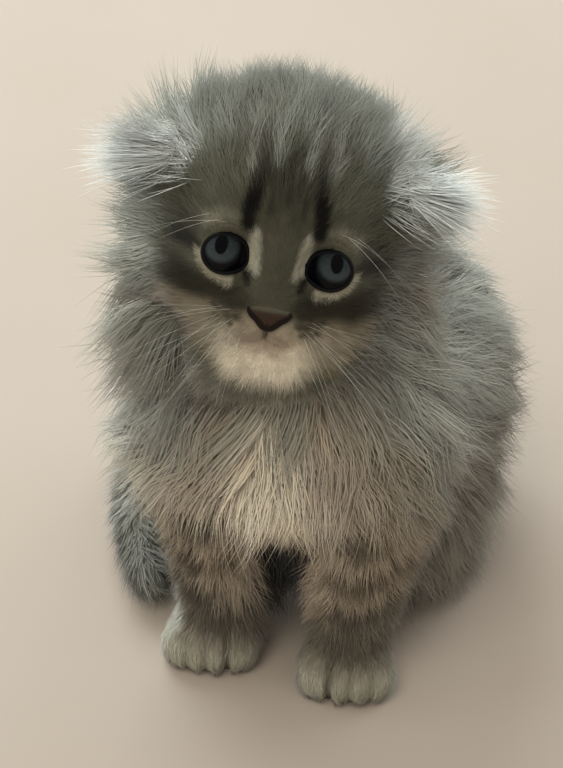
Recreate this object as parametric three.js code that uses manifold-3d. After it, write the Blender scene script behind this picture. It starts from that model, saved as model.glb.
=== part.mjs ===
// A long-haired Scottish fold kitten, sitting, with its head turned and tilted towards its left and its
// tail laid round its right side. Life size, in millimetres, +Z up: the chest faces -Y, the kitten's
// left side is +X, and it rests on the plane z = 0. The solids follow the outside of the coat. Each one
// is a closed three.js shape drawn out over smooth egg-shaped forms, then parted from its neighbours.
import * as THREE from 'three';
import { mergeVertices } from 'three/addons/utils/BufferGeometryUtils.js';
import Module from 'manifold-3d';

const wasm = await Module();
wasm.setup();

// Driving sizes. The space between the eyes sets the kitten's age, and so its scale.
const GAP = 0.35; // between two solids that meet
const EYE_SPACING = 29.6;
const EYE_RADIUS = 7.8;
const EYE_LINE = new THREE.Vector3(-6.2, 13.7, 148); // middle of the eye openings
const EYE_LINE_IN_HEAD = new THREE.Vector3(0, -27, -4); // the same point in the head's own frame
const HEAD_TURN = 20; // degrees, towards the kitten's left
const HEAD_RAISE = 19;
const HEAD_TILT = 10;
const EAR_LEAN = 32; // degrees that an ear leans over the side of the skull
const PAW_TURN = 15;
const TOE_SPACING = 7;
const NECK_RISE = 0.26; // how much the neck's cuts rise towards the nape, per millimetre
const NECK_TOP = 119; // the height of its cuts over the middle of the chest
const NECK_BASE = 104;
const TAIL_RADIUS = { root: 12, tip: 9.5 };
const TAIL_CUTS = [0.36, 0.7]; // shares of the tail's length
const CHEST_X = -7; // the kitten bends a little to its right, so its chest is off the rump's middle
const LEFT = { name: 'left', sign: 1 };
const RIGHT = { name: 'right', sign: -1 };
const SIDES = [LEFT, RIGHT];

// How finely each shape's starting ball is divided.
const FACETS = {
  head: 7, trunk: 7, neck: 5, ruff: 4, paw: 4, ear: 3, thigh: 3, foot: 3, eye: 2, nose: 2,
};

// Coat colours, lightest to darkest, and the bare parts.
const coat = (name, colour) =>
  new THREE.MeshStandardMaterial({ name, color: colour, roughness: 0.92, metalness: 0 });
const silverCoat = coat('silver_coat', 0x9a978c);
const paleCoat = coat('pale_coat', 0xb9b2a2);
const darkCoat = coat('dark_coat', 0x5b5c5a);
const eyeGloss = new THREE.MeshStandardMaterial({
  name: 'eye', color: 0x3e4c5c, roughness: 0.06, metalness: 0,
});
const noseSkin = new THREE.MeshStandardMaterial({
  name: 'nose_skin', color: 0x6b4640, roughness: 0.55, metalness: 0,
});

const radians = THREE.MathUtils.degToRad;
const at = (x, y, z) => new THREE.Vector3(x, y, z);
const turn = (axis, degrees) => new THREE.Quaternion().setFromAxisAngle(axis, radians(degrees));

// Forms: a form tells how far a point is outside a surface, and is negative inside it.

// An egg: half-width to each side, then how far it reaches forward, back, up and down from its centre.
function egg(centre, { side, front, back, up, down }) {
  return (p) => {
    const ry = p.y < centre.y ? front : back;
    const rz = p.z < centre.z ? down : up;
    const [dx, dy, dz] = [(p.x - centre.x) / side, (p.y - centre.y) / ry, (p.z - centre.z) / rz];
    const reach = Math.hypot(dx, dy, dz);
    const slope = Math.hypot(dx / side, dy / ry, dz / rz);
    return slope === 0 ? -Math.min(side, ry, rz) : (reach * (reach - 1)) / slope;
  };
}

// A limb: a round rod from one point to another whose radius changes evenly.
function limb(start, end, startRadius, endRadius) {
  const along = end.clone().sub(start);
  const offset = at(0, 0, 0);
  return (p) => {
    offset.copy(p).sub(start);
    const share = THREE.MathUtils.clamp(offset.dot(along) / along.lengthSq(), 0, 1);
    const radius = THREE.MathUtils.lerp(startRadius, endRadius, share);
    return offset.addScaledVector(along, -share).length() - radius;
  };
}

// Several forms flowing into each other over the given width.
function blend(width, forms) {
  return (p) => forms.map((form) => form(p)).reduce((a, b) => {
    const mix = Math.max(width - Math.abs(a - b), 0) / width;
    return Math.min(a, b) - (mix * mix * width) / 4;
  });
}

// A form with hollows pressed softly into it.
function hollowed(width, form, hollows) {
  const hollow = blend(width, hollows);
  return (p) => -blend(width, [(q) => -form(q), hollow])(p);
}

// A form that stops a little way past a plane, whose normal points to what is left out.
const within = (form, plane, past = 14) => (p) => Math.max(form(p), plane.distanceToPoint(p) - past);

// A form given in another frame, which a matrix places in the kitten's.
function inFrame(matrix, form) {
  const back = matrix.clone().invert();
  const local = at(0, 0, 0);
  return (p) => form(local.copy(p).applyMatrix4(back));
}

// Shapes.

// Joins the seams of a starting shape, so that its triangles share their corners.
function closed(geometry) {
  geometry.deleteAttribute('normal');
  geometry.deleteAttribute('uv');
  return mergeVertices(geometry, 1e-3);
}

// Moves every point of a closed starting shape straight out from its core line to the form's surface.
function wrap(geometry, start, end, form, offset) {
  const [nearStep, farStep, farthest, halvings] = [0.4, 6, 300, 16];
  const positions = geometry.attributes.position;
  const along = end.clone().sub(start);
  const length = Math.max(along.lengthSq(), 1e-9);
  const [point, core, way] = [at(0, 0, 0), at(0, 0, 0), at(0, 0, 0)];
  for (let i = 0; i < positions.count; i += 1) {
    point.fromBufferAttribute(positions, i);
    const share = THREE.MathUtils.clamp(way.copy(point).sub(start).dot(along) / length, 0, 1);
    core.copy(start).addScaledVector(along, share);
    way.copy(point).sub(core).normalize();
    const outside = (reach) => form(point.copy(core).addScaledVector(way, reach)) - offset;
    let [inner, outer] = [0, 0];
    for (let gap = outside(0); gap < 0 && outer < farthest; gap = outside(outer)) {
      inner = outer;
      outer += THREE.MathUtils.clamp(-0.7 * gap, nearStep, farStep);
    }
    for (let k = 0; k < halvings; k += 1) {
      const middle = (inner + outer) / 2;
      if (outside(middle) < 0) inner = middle;
      else outer = middle;
    }
    point.copy(core).addScaledVector(way, outer);
    positions.setXYZ(i, point.x, point.y, point.z);
  }
  return geometry;
}

// A ball of triangles drawn out over a form, from a point or from a line between two points.
function rounded(form, detail, start, { end = start, offset = 0 } = {}) {
  const radius = 10;
  const ball = closed(new THREE.IcosahedronGeometry(radius, detail));
  const half = end.clone().sub(start).multiplyScalar(0.5);
  const unit = half.clone().normalize();
  const middle = start.clone().add(half);
  const positions = ball.attributes.position;
  const point = at(0, 0, 0);
  for (let i = 0; i < positions.count; i += 1) {
    point.fromBufferAttribute(positions, i);
    const share = THREE.MathUtils.clamp((1.5 * point.dot(unit)) / radius, -1, 1);
    point.add(middle).addScaledVector(half, share);
    positions.setXYZ(i, point.x, point.y, point.z);
  }
  return solidOf(wrap(ball, start, end, form, offset));
}

// A rod of rings drawn out over a form along a straight line.
function sleeved(form, start, end, rings, sides) {
  const rod = closed(new THREE.CapsuleGeometry(4, start.distanceTo(end), 3, sides, rings));
  const way = end.clone().sub(start).normalize();
  rod.applyQuaternion(new THREE.Quaternion().setFromUnitVectors(at(0, 1, 0), way));
  rod.translate(...start.clone().add(end).multiplyScalar(0.5).toArray());
  return solidOf(wrap(rod, start, end, form, 0));
}

// A rod bent along a path, thinner towards its end.
function bentRod(path, radiusAtRoot, radiusAtTip, rings, sides) {
  const length = path.getLength();
  const rod = closed(new THREE.CapsuleGeometry(1, length, 4, sides, rings));
  const positions = rod.attributes.position;
  const [point, way, across, up] = [at(0, 0, 0), at(0, 0, 0), at(0, 0, 0), at(0, 0, 0)];
  for (let i = 0; i < positions.count; i += 1) {
    point.fromBufferAttribute(positions, i);
    const share = THREE.MathUtils.clamp(point.y / length + 0.5, 0, 1);
    const past = point.y - (share - 0.5) * length;
    const radius = THREE.MathUtils.lerp(radiusAtRoot, radiusAtTip, share);
    path.getTangentAt(share, way);
    across.crossVectors(way, at(0, 0, 1)).normalize();
    up.crossVectors(across, way);
    const place = path.getPointAt(share).addScaledVector(way, radius * past);
    place.addScaledVector(across, radius * point.x).addScaledVector(up, radius * point.z);
    positions.setXYZ(i, place.x, place.y, place.z);
  }
  return solidOf(rod);
}

// Solids, for cutting and joining.
const solidOf = (geometry) => new wasm.Manifold(new wasm.Mesh({
  numProp: 3,
  vertProperties: geometry.attributes.position.array,
  triVerts: new Uint32Array(geometry.index.array),
}));

// A block that fills everything beyond a plane, on the side its normal points to.
function beyond(plane, size = 700) {
  const block = closed(new THREE.BoxGeometry(size, size, size));
  block.translate(0, 0, size / 2);
  block.applyQuaternion(new THREE.Quaternion().setFromUnitVectors(at(0, 0, 1), plane.normal));
  block.translate(...plane.normal.clone().multiplyScalar(-plane.constant).toArray());
  return solidOf(block);
}

const planeThrough = (point, normal) =>
  new THREE.Plane().setFromNormalAndCoplanarPoint(normal.clone().normalize(), point);
const without = (solid, ...others) => others.reduce((left, other) => left.subtract(other), solid);
const largest = (solid) => solid.decompose().reduce((a, b) => (a.volume() > b.volume() ? a : b));
const belowFloor = beyond(planeThrough(at(0, 0, 0), at(0, 0, -1)));

// Puts a solid, given in the kitten's frame, in a group as a mesh whose own origin is at a given point.
function addPart(group, name, solid, material, origin) {
  const { vertProperties, triVerts } = largest(solid).getMesh();
  const geometry = new THREE.BufferGeometry();
  geometry.setAttribute('position', new THREE.BufferAttribute(new Float32Array(vertProperties), 3));
  geometry.setIndex(new THREE.BufferAttribute(new Uint32Array(triVerts), 1));
  group.updateWorldMatrix(true, false);
  const mesh = new THREE.Mesh(geometry, material);
  mesh.name = name;
  mesh.position.copy(group.worldToLocal(origin.clone()));
  group.add(mesh);
  mesh.updateWorldMatrix(true, false);
  geometry.applyMatrix4(mesh.matrixWorld.clone().invert());
  geometry.computeVertexNormals();
}

const kitten = new THREE.Group();

// The head's frame: its own -Y looks out of the face, and its +Z points through the crown.
const head = new THREE.Group();
head.quaternion
  .copy(turn(at(0, 0, 1), HEAD_TURN))
  .multiply(turn(at(1, 0, 0), -HEAD_RAISE))
  .multiply(turn(at(0, 1, 0), HEAD_TILT));
head.position.copy(EYE_LINE).sub(EYE_LINE_IN_HEAD.clone().applyQuaternion(head.quaternion));
kitten.add(head);
head.updateWorldMatrix(true, false);
const inHead = (form) => inFrame(head.matrixWorld, form);
const headPoint = (x, y, z) => at(x, y, z).applyMatrix4(head.matrixWorld);

// Forms of the head: the skull under its crown of fur, the brow, and a ruff of fur on each cheek.
const skull = egg(at(0, 0, 0), { side: 48, front: 26.5, back: 42, up: 46, down: 38 });
const brow = egg(at(0, -12, 12), { side: 27, front: 17.5, back: 20, up: 24, down: 20 });
const cheekSize = { side: 26.5, front: 20, back: 26, up: 24, down: 30 };
const cheeks = SIDES.map(({ sign }) => egg(at(25 * sign, 1, -19), cheekSize));

// Forms of the muzzle: the bridge of the nose, two whisker pads and the chin with its beard.
const bridge = egg(at(0, -25, -9), { side: 6.5, front: 9, back: 10, up: 11, down: 6 });
const padSize = { side: 8, front: 8, back: 10, up: 6.5, down: 7 };
const pads = SIDES.map(({ sign }) => egg(at(6 * sign, -27.5, -19.5), padSize));
const chin = egg(at(0, -19, -29), { side: 13, front: 10, back: 12, up: 9, down: 10 });
const muzzle = blend(4, [bridge, ...pads, chin]);

// The head is hollowed where the eyes sit.
const orbitSize = { side: 8.5, front: 8, back: 8, up: 8.5, down: 8 };
const orbits = SIDES.map(({ sign }) => egg(at(15 * sign, -34.5, -4), orbitSize));
const headForm = inHead(
  hollowed(3, blend(7, [blend(12, [skull, ...cheeks, brow]), muzzle]), orbits),
);

// Forms of the body: the chest, the rump, and the nape that carries the head.
const chest = egg(at(CHEST_X + 1, 36, 76), { side: 49, front: 37, back: 46, up: 38, down: 42 });
const rump = egg(at(0, 80, 56), { side: 51, front: 58, back: 58, up: 60, down: 60 });
const nape = limb(at(CHEST_X, 40, 98), headPoint(0, 12, -8), 38, 31);
const bodyForm = blend(20, [blend(8, [nape, headForm]), chest, rump]);

// The ruff: a bib of long fur over the chest and shoulders, which faces the way the head does.
const ruffPlace = at(CHEST_X - 1, 27, 89);
const ruffFrame = new THREE.Matrix4().compose(ruffPlace, turn(at(0, 0, 1), HEAD_TURN), at(1, 1, 1));
const ruffSize = { side: 54, front: 36.5, back: 42, up: 46, down: 37 };
const ruffForm = inFrame(ruffFrame, egg(at(0, 0, 0), ruffSize));
const withRuff = (solid, offset = 0) => solid.add(rounded(ruffForm, FACETS.ruff, ruffPlace, { offset }));

// The neck lies between two cuts. Each leaves out what is on the side of its sign, below or above.
const neckCut = (height, sign, gap = 0) =>
  planeThrough(at(CHEST_X, 40, height - gap), at(0, -NECK_RISE * sign, sign));
const underHead = neckCut(NECK_TOP, -1);
const overNeck = neckCut(NECK_TOP, 1, GAP);
const underNeck = neckCut(NECK_BASE, -1);
const overTrunk = neckCut(NECK_BASE, 1, GAP);

// Eyes: whole balls, set so deep that the coat round them leaves only their fronts bare.
const eyePlace = ({ sign }) => headPoint((sign * EYE_SPACING) / 2, -21.4, -4);
function eyeBall(side, radius) {
  const ball = closed(new THREE.IcosahedronGeometry(radius, FACETS.eye));
  ball.translate(...eyePlace(side).toArray());
  return solidOf(ball);
}
for (const side of SIDES) {
  addPart(head, `eye_${side.name}`, eyeBall(side, EYE_RADIUS), eyeGloss, eyePlace(side));
}
const eyeSockets = SIDES.map((side) => eyeBall(side, EYE_RADIUS + GAP));

// Nose: the bare leather at the end of the muzzle, wide above and narrow below.
const noseForm = inHead(blend(2, [
  egg(at(0, -34.5, -15), { side: 5.8, front: 3, back: 4, up: 2.2, down: 2.6 }),
  egg(at(0, -34.5, -17.6), { side: 2.6, front: 2.6, back: 4, up: 2, down: 2.6 }),
]));
const noseCore = headPoint(0, -34.2, -15.8);
addPart(head, 'nose', rounded(noseForm, FACETS.nose, noseCore), noseSkin, noseCore);
const noseSeat = rounded(noseForm, FACETS.nose, noseCore, { offset: GAP });

// Head.
const headShell = (offset) => 
  rounded(within(bodyForm, underHead), FACETS.head, head.position, { offset });
addPart(
  head, 'head', without(withRuff(headShell(0)), beyond(underHead), noseSeat, ...eyeSockets),
  silverCoat, head.position,
);

// Ears: small and set wide, each folded over so that its tip hangs forward against the head.
const headRest = headShell(GAP);
for (const side of SIDES) {
  const place = at(39 * side.sign, 2, 20);
  const frame = head.matrixWorld.clone().multiply(new THREE.Matrix4().compose(
    place, turn(at(0, 1, 0), -EAR_LEAN * side.sign), at(1, 1, 1),
  ));
  const form = inFrame(frame, blend(5, [
    egg(at(0, 0, 1), { side: 8, front: 10, back: 11, up: 14, down: 13 }),
    egg(at(0, -8, -5), { side: 6.5, front: 7, back: 8, up: 9, down: 8 }),
  ]));
  const core = headPoint(...place.toArray());
  const solid = without(rounded(form, FACETS.ear, core), headRest);
  addPart(head, `ear_${side.name}`, solid, silverCoat, core);
}

// Neck.
const neckCore = at(CHEST_X, 40, (NECK_TOP + NECK_BASE) / 2);
const neckForm = within(within(bodyForm, overNeck), underNeck);
const neckShell = withRuff(rounded(neckForm, FACETS.neck, neckCore));
addPart(
  kitten, 'neck', without(neckShell, beyond(overNeck), beyond(underNeck)), silverCoat, neckCore,
);

// Hind legs: thighs folded against the rump, and long feet tucked under them.
const hindToeSize = { side: 4.4, front: 6, back: 9, up: 6.5, down: 7 };
const footForm = ({ sign }) => blend(4, [
  egg(at(21 * sign, 66, 6), { side: 10, front: 18, back: 26, up: 10, down: 10 }),
  ...[-1, 0, 1].map((toe) => egg(at((21 + 6 * toe) * sign, 52, 5), hindToeSize)),
]);
const thighSize = { side: 24, front: 34, back: 38, up: 38, down: 38 };
const thighForm = ({ sign }) => egg(at(27 * sign, 64, 36), thighSize);
const hindLegs = SIDES.map((side) => {
  const footCore = at(21 * side.sign, 62, 4);
  const thighCore = at(27 * side.sign, 66, 34);
  const midline = beyond(planeThrough(at(20 * side.sign, 0, 0), at(-side.sign, 0, 0)));
  const foot = rounded(footForm(side), FACETS.foot, footCore);
  const footRest = rounded(footForm(side), FACETS.foot, footCore, { offset: GAP });
  const thigh = without(rounded(thighForm(side), FACETS.thigh, thighCore), midline, footRest);
  const thighRest = rounded(thighForm(side), FACETS.thigh, thighCore, { offset: GAP });
  return { side, foot, footCore, footRest, thigh, thighCore, thighRest, midline };
});

// Tail: a rod bent along its path on the floor, parted into three lengths.
const tailHeight = TAIL_RADIUS.tip - 0.6;
const tailPath = new THREE.CatmullRomCurve3([
  at(-14, 112, 15), at(-36, 117, tailHeight + 2), at(-60, 104, tailHeight), at(-73, 83, tailHeight),
  at(-73, 62, tailHeight), at(-67, 45, tailHeight), at(-59, 31, tailHeight), at(-53, 22, tailHeight),
]);
const tailOffset = (offset) =>
  bentRod(tailPath, TAIL_RADIUS.root + offset, TAIL_RADIUS.tip + offset, 12, 10);
const tail = without(tailOffset(0), belowFloor);
const tailRest = tailOffset(GAP);

// Trunk: chest, back and rump in one, with the thighs, feet and tail let into it.
const trunkCore = at(CHEST_X + 2, 34, 70);
const rumpCore = at(0, 84, 56);
const trunkShell = (offset) => withRuff(
  rounded(within(bodyForm, overTrunk), FACETS.trunk, trunkCore, { end: rumpCore, offset }), offset,
);
const trunkRest = trunkShell(GAP);
addPart(kitten, 'trunk', without(
  trunkShell(0), beyond(overTrunk), belowFloor, tailRest,
  ...hindLegs.map(({ footRest }) => footRest),
  ...hindLegs.map(({ thighRest, midline }) => without(thighRest, midline)),
), silverCoat, trunkCore);
for (const { side, foot, footCore, thigh, thighCore } of hindLegs) {
  const clear = (solid) => without(solid, belowFloor, tailRest);
  addPart(kitten, `hind_leg_${side.name}`, clear(thigh), silverCoat, thighCore);
  addPart(kitten, `hind_foot_${side.name}`, clear(foot), paleCoat, footCore);
}

// The tail's cuts, at shares of its length. Each leaves out what is on the side of its sign.
function tailCut(share, sign, gap = 0) {
  const way = tailPath.getTangentAt(share).multiplyScalar(sign);
  return beyond(planeThrough(tailPath.getPointAt(share).addScaledVector(way, -gap), way));
}
const [firstCut, secondCut] = TAIL_CUTS;
const tailBase = without(tail, tailCut(firstCut, 1, GAP), trunkRest);
const tailMiddle = without(tail, tailCut(firstCut, -1), tailCut(secondCut, 1, GAP));
const tailTip = without(tail, tailCut(secondCut, -1));
addPart(kitten, 'tail_base', tailBase, silverCoat, tailPath.getPointAt(0));
addPart(kitten, 'tail_middle', tailMiddle, silverCoat, tailPath.getPointAt(firstCut));
addPart(kitten, 'tail_tip', tailTip, darkCoat, tailPath.getPointAt(secondCut));

// Front legs: straight columns, each on a broad paw with four toes, flat underneath.
const frontLegs = [
  { side: LEFT, place: at(17.6, 10, 0), elbow: at(21, 27, 62) },
  { side: RIGHT, place: at(-25.4, 8, 0), elbow: at(-32, 24, 62) },
];
const toeSize = { side: 4.9, front: 7.5, back: 9, up: 7.6, down: 8 };
const toePlace = (toe) => at(TOE_SPACING * toe, 1.6 * Math.abs(toe) - 8.5, 5.5);
const pawForm = blend(3, [
  egg(at(0, 2, 6), { side: 13.5, front: 13, back: 15, up: 13, down: 12 }),
  ...[-1.5, -0.5, 0.5, 1.5].map((toe) => egg(toePlace(toe), toeSize)),
]);
for (const { side, place, elbow } of frontLegs) {
  const paw = new THREE.Group();
  paw.position.copy(place);
  paw.rotation.z = radians(PAW_TURN);
  kitten.add(paw);
  paw.updateWorldMatrix(true, false);
  const form = inFrame(paw.matrixWorld, pawForm);
  const core = place.clone().add(at(0, 0, 5));
  const pawRest = rounded(form, FACETS.paw, core, { offset: GAP });
  const pawSolid = without(rounded(form, FACETS.paw, core), belowFloor);
  addPart(paw, `front_paw_${side.name}`, pawSolid, paleCoat, place);
  const wrist = place.clone().add(at(0, 4, 14));
  const leg = sleeved(limb(wrist, elbow, 13, 22), wrist, elbow, 3, 10);
  addPart(kitten, `front_leg_${side.name}`, without(
    leg, pawRest, trunkRest, tailRest, belowFloor,
    ...hindLegs.map(({ thighRest }) => thighRest),
  ), silverCoat, wrist);
}

// The kitten's origin is on the floor, under the middle of its box.
const box = new THREE.Box3().setFromObject(kitten, true);
const middle = box.getCenter(at(0, 0, 0));
kitten.position.set(-middle.x, -middle.y, -box.min.z);

export default kitten;
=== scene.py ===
import math
import bmesh
import bpy
import numpy as np
from mathutils import Matrix, Vector
from mathutils.bvhtree import BVHTree
from mathutils.kdtree import KDTree


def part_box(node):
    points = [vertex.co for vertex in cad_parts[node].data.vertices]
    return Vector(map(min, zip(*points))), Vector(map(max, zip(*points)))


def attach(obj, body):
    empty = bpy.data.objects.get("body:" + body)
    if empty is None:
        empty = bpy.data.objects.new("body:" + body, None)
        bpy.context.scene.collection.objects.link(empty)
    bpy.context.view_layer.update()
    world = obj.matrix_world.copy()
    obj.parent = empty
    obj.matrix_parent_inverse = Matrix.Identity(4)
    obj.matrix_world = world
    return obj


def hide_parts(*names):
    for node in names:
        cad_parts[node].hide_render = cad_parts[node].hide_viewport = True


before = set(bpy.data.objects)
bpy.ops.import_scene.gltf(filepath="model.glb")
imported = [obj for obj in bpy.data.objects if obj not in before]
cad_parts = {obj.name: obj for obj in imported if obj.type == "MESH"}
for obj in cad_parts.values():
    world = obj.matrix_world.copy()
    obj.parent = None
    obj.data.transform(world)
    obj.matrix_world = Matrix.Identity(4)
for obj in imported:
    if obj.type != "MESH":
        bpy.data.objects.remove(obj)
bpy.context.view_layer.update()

# Camera: a hand-held phone in front of the kitten, above it and a little to its left, which looks
# down at its face from 0.6 metres.
CAMERA_PLACE = Vector((0.1782, -0.5065, 0.5001))  # metres
CAMERA_WAY = Vector((-0.2658, 0.7303, -0.6293))
LENS = 103.8  # millimetres, on a sensor whose long side is 36 mm
CLIP = (0.02, 20)  # metres


def placed(name, data):
    """A new object of the scene."""
    made = bpy.data.objects.new(name, data)
    bpy.context.scene.collection.objects.link(made)
    return made


camera_data = bpy.data.cameras.new("camera")
camera_data.lens = LENS
camera_data.clip_start, camera_data.clip_end = CLIP
camera = placed("camera", camera_data)
camera.location = CAMERA_PLACE
camera.rotation_euler = CAMERA_WAY.to_track_quat("-Z", "Y").to_euler()
bpy.context.scene.camera = camera

# Floor: a plain pale sheet of painted board, laid flat under the kitten. The paint is a shade
# uneven.
FLOOR_SIZE = 6.0  # metres


class Socket:
    """A shader socket that takes part in sums."""

    def __init__(self, tree, output):
        self.tree, self.output = tree, output

    @staticmethod
    def node(tree, kind, settings=(), inputs=(), output=0):
        """A node of this type, its settings made first, then the values or links of its sockets."""
        made = tree.nodes.new(kind)
        for name, value in dict(settings).items():
            setattr(made, name, value)
        for name, value in dict(inputs).items():
            if isinstance(value, Socket):
                tree.links.new(value.output, made.inputs[name])
            else:
                made.inputs[name].default_value = value
        return Socket(tree, made.outputs[output])

    def sum(self, operation, other, flip=False):
        values = (other, self) if flip else (self, other)
        return Socket.node(self.tree, "ShaderNodeMath", {"operation": operation}, enumerate(values))

    def __add__(self, other):
        return self.sum("ADD", other)

    def __mul__(self, other):
        return self.sum("MULTIPLY", other)

    def __truediv__(self, other):
        return self.sum("DIVIDE", other)

    def __rtruediv__(self, other):
        return self.sum("DIVIDE", other, flip=True)

    __radd__, __rmul__ = __add__, __mul__


def linear(red, green, blue):
    """A colour given as it shows on a screen, 0 to 255, as light, with its alpha."""
    parts = [c / 255 for c in (red, green, blue)]
    return (*(c / 12.92 if c <= 0.04045 else ((c + 0.055) / 1.055) ** 2.4 for c in parts), 1.0)


def material(name, roughness, **constants):
    """A principled material, its node tree, and its shader."""
    made = bpy.data.materials.new(name)
    made.use_nodes = True
    shader = made.node_tree.nodes["Principled BSDF"]
    shader.inputs["Roughness"].default_value = roughness
    for socket, value in constants.items():
        shader.inputs[socket.replace("_", " ")].default_value = value
    return made, made.node_tree, shader


def feed(shader, name, socket):
    socket.tree.links.new(socket.output, shader.inputs[name])


def texture(tree, kind, scale, **inputs):
    """A texture through the object, in its own coordinates."""
    place = Socket.node(tree, "ShaderNodeTexCoord", output="Object")
    return Socket.node(tree, kind, inputs={"Vector": place, "Scale": scale, **inputs})


def blend(tree, share, first, second, how="MIX"):
    """Two colours, mixed by the share of the second."""
    return Socket.node(
        tree, "ShaderNodeMix", {"data_type": "RGBA", "blend_type": how},
        {0: share, 6: first, 7: second}, output=2)


def as_mesh(name, shape):
    """Mesh data with this shape, a bmesh that isn't needed any more."""
    data = bpy.data.meshes.new(name)
    shape.to_mesh(data)
    shape.free()
    return data


floor_shape = bmesh.new()
bmesh.ops.create_grid(floor_shape, x_segments=1, y_segments=1, size=FLOOR_SIZE / 2)
floor = placed("floor", as_mesh("floor", floor_shape))
board, tree, shader = material("board", 0.8)
brushed = texture(tree, "ShaderNodeTexNoise", 9.0, Detail=4.0)
feed(shader, "Base Color", blend(tree, brushed, linear(172, 158, 144), linear(182, 170, 157)))
floor.data.materials.append(board)

# Light: a big window behind the kitten's right shoulder and a weaker one behind its left rim the
# coat. A weak lamp on its right and one in front fill the shadows, and the room gives the rest.
WINDOW_LIGHT, LAMP_LIGHT = (0.90, 0.98, 1.0), (1.0, 0.95, 0.86)
ROOM_LIGHT, ROOM_STRENGTH = (1.0, 0.96, 0.9, 1), 0.52
LIGHTS = {
    # name: place and size in metres, watts, colour
    "window": ((-0.95, 1.05, 1.25), 1.5, 34, WINDOW_LIGHT),
    "far_window": ((0.95, 1.45, 1.1), 1.4, 13, WINDOW_LIGHT),
    "side_fill": ((-1.35, -0.2, 0.6), 1.0, 4.5, WINDOW_LIGHT),
    "front_fill": ((-0.1, -0.95, 1.6), 1.2, 12, LAMP_LIGHT),
}
LIT_PLACE = Vector((0, 0, 0.1))  # metres
for name, (spot, size, watts, colour) in LIGHTS.items():
    lamp = bpy.data.lights.new(name, "AREA")
    lamp.shape, lamp.size, lamp.energy, lamp.color = "DISK", size, watts, colour
    lamp_object = placed(name, lamp)
    lamp_object.location = spot
    lamp_object.visible_glossy = "fill" not in name  # only the windows gleam in the eyes
    lamp_object.rotation_euler = (LIT_PLACE - Vector(spot)).to_track_quat("-Z", "Y").to_euler()
room = bpy.data.worlds.new("room")
room.use_nodes = True
room_inputs = room.node_tree.nodes["Background"].inputs
room_inputs["Color"].default_value = ROOM_LIGHT
room_inputs["Strength"].default_value = ROOM_STRENGTH
bpy.context.scene.world = room
bpy.context.scene.view_settings.view_transform = "Standard"

# Head's frame: its -Y looks out of the face and +Z through the crown. The eyes of the solid model
# carry it, so every part of the face is placed from the middle of the head, in millimetres.
MM = 0.001
SIDES = {"left": 1, "right": -1}  # of the kitten, with the sign of X there
HEAD_TURN, HEAD_RAISE, HEAD_TILT = 20, 19, 10  # degrees
EYES_IN_HEAD = Vector((0, -21.4, -4))
head_turn = (
    Matrix.Rotation(math.radians(HEAD_TURN), 3, "Z")
    @ Matrix.Rotation(math.radians(-HEAD_RAISE), 3, "X")
    @ Matrix.Rotation(math.radians(HEAD_TILT), 3, "Y")
)


def middle(node):
    low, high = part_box(node)
    return (low + high) / 2 / MM


eye_centres = {side: middle(f"eye_{side}") for side in SIDES}
head_middle = (eye_centres["left"] + eye_centres["right"]) / 2 - head_turn @ EYES_IN_HEAD
HEAD_AXES, HEAD_MIDDLE = np.array(head_turn), np.array(head_middle)


def to_head(points):
    return (np.asarray(points, float) - HEAD_MIDDLE) @ HEAD_AXES


def from_head(points):
    return np.asarray(points, float) @ HEAD_AXES.T + HEAD_MIDDLE


eye_in_head = {side: to_head(centre) for side, centre in eye_centres.items()}

# Skin: the kitten's body without its coat. It is made from the solids of flesh, grown into one
# another, then sunk below them by the depth of the coat, which is deep on the cheeks and chest and
# next to nothing on the face and feet.
GROUPS = {
    # part of the coat: (nodes it covers, depth in millimetres)
    "head": (("head",), 10),
    "neck": (("neck",), 16),
    "trunk": (("trunk",), 15),
    "thigh": (("hind_leg_left", "hind_leg_right"), 13),
    "leg": (("front_leg_left", "front_leg_right"), 5.6),
    "paw": (("front_paw_left", "front_paw_right", "hind_foot_left", "hind_foot_right"), 1.7),
    "tail": (("tail_base", "tail_middle", "tail_tip"), 5.0),
    "ear": ((), 4.0),
}
HEAD, NECK, TRUNK, THIGH, LEG, PAW, TAIL, EAR = range(len(GROUPS))
GROWN = 0.5  # how far each solid swells, so that it meets its neighbours
EYE_RADIUS = 7.8
LID_COVER = 2.0  # how far the closed lids would stand over the eyeballs, with their fur
COARSE_GRID, FINE_GRID = 1.7, 1.1
SINK_STEPS, SETTLE_STEPS = 8, 4
SETTLE_LIMIT = 1.5  # how far one step may move the skin
ACROSS, BACK, UP = range(3)
BODY_MIDDLE_X = 12

# Regions. Each is a product of ramps: an axis, where the ramp starts and where it is full.
CHEEK = ((ACROSS, 16, 34), (UP, 14, -6))  # of the head, on both sides
CHIN = ((ACROSS, 28, 8), (UP, -20, -28), (BACK, -4, -12))
BIB = ((BACK, -25, -50), (UP, 60, 80))  # of the body
LOW_CHEST = ((UP, 96, 68), (BACK, -20, -42))
BETWEEN_LEGS = ((ACROSS, 26, 14), (BACK, -25, -40))  # from the body's middle
INNER_SIDE = ((ACROSS, -4, 3), (ACROSS, 14, 9), (BACK, -25, -40))  # of the right front leg

# Depths of the coat on the head, in millimetres, and how each is placed.
FACE_MIDDLE, FACE_SHAPE, OUT_OF_FACE = (0, -30, -10), (1.12, 1, 1), (17, 48)
EYE_MIDDLE, EYE_STRETCH, AROUND_EYE = (15.1, -4), 1.15, (6, 12)
NOSE_UP, AROUND_NOSE = -17, (4, 12)
BARE_DEPTH, FACE_DEPTH, CROWN_DEPTH, CHEEK_DEPTH, CHIN_CUT = 0.6, 0.9, 8.7, 7.5, 0.55
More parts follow.
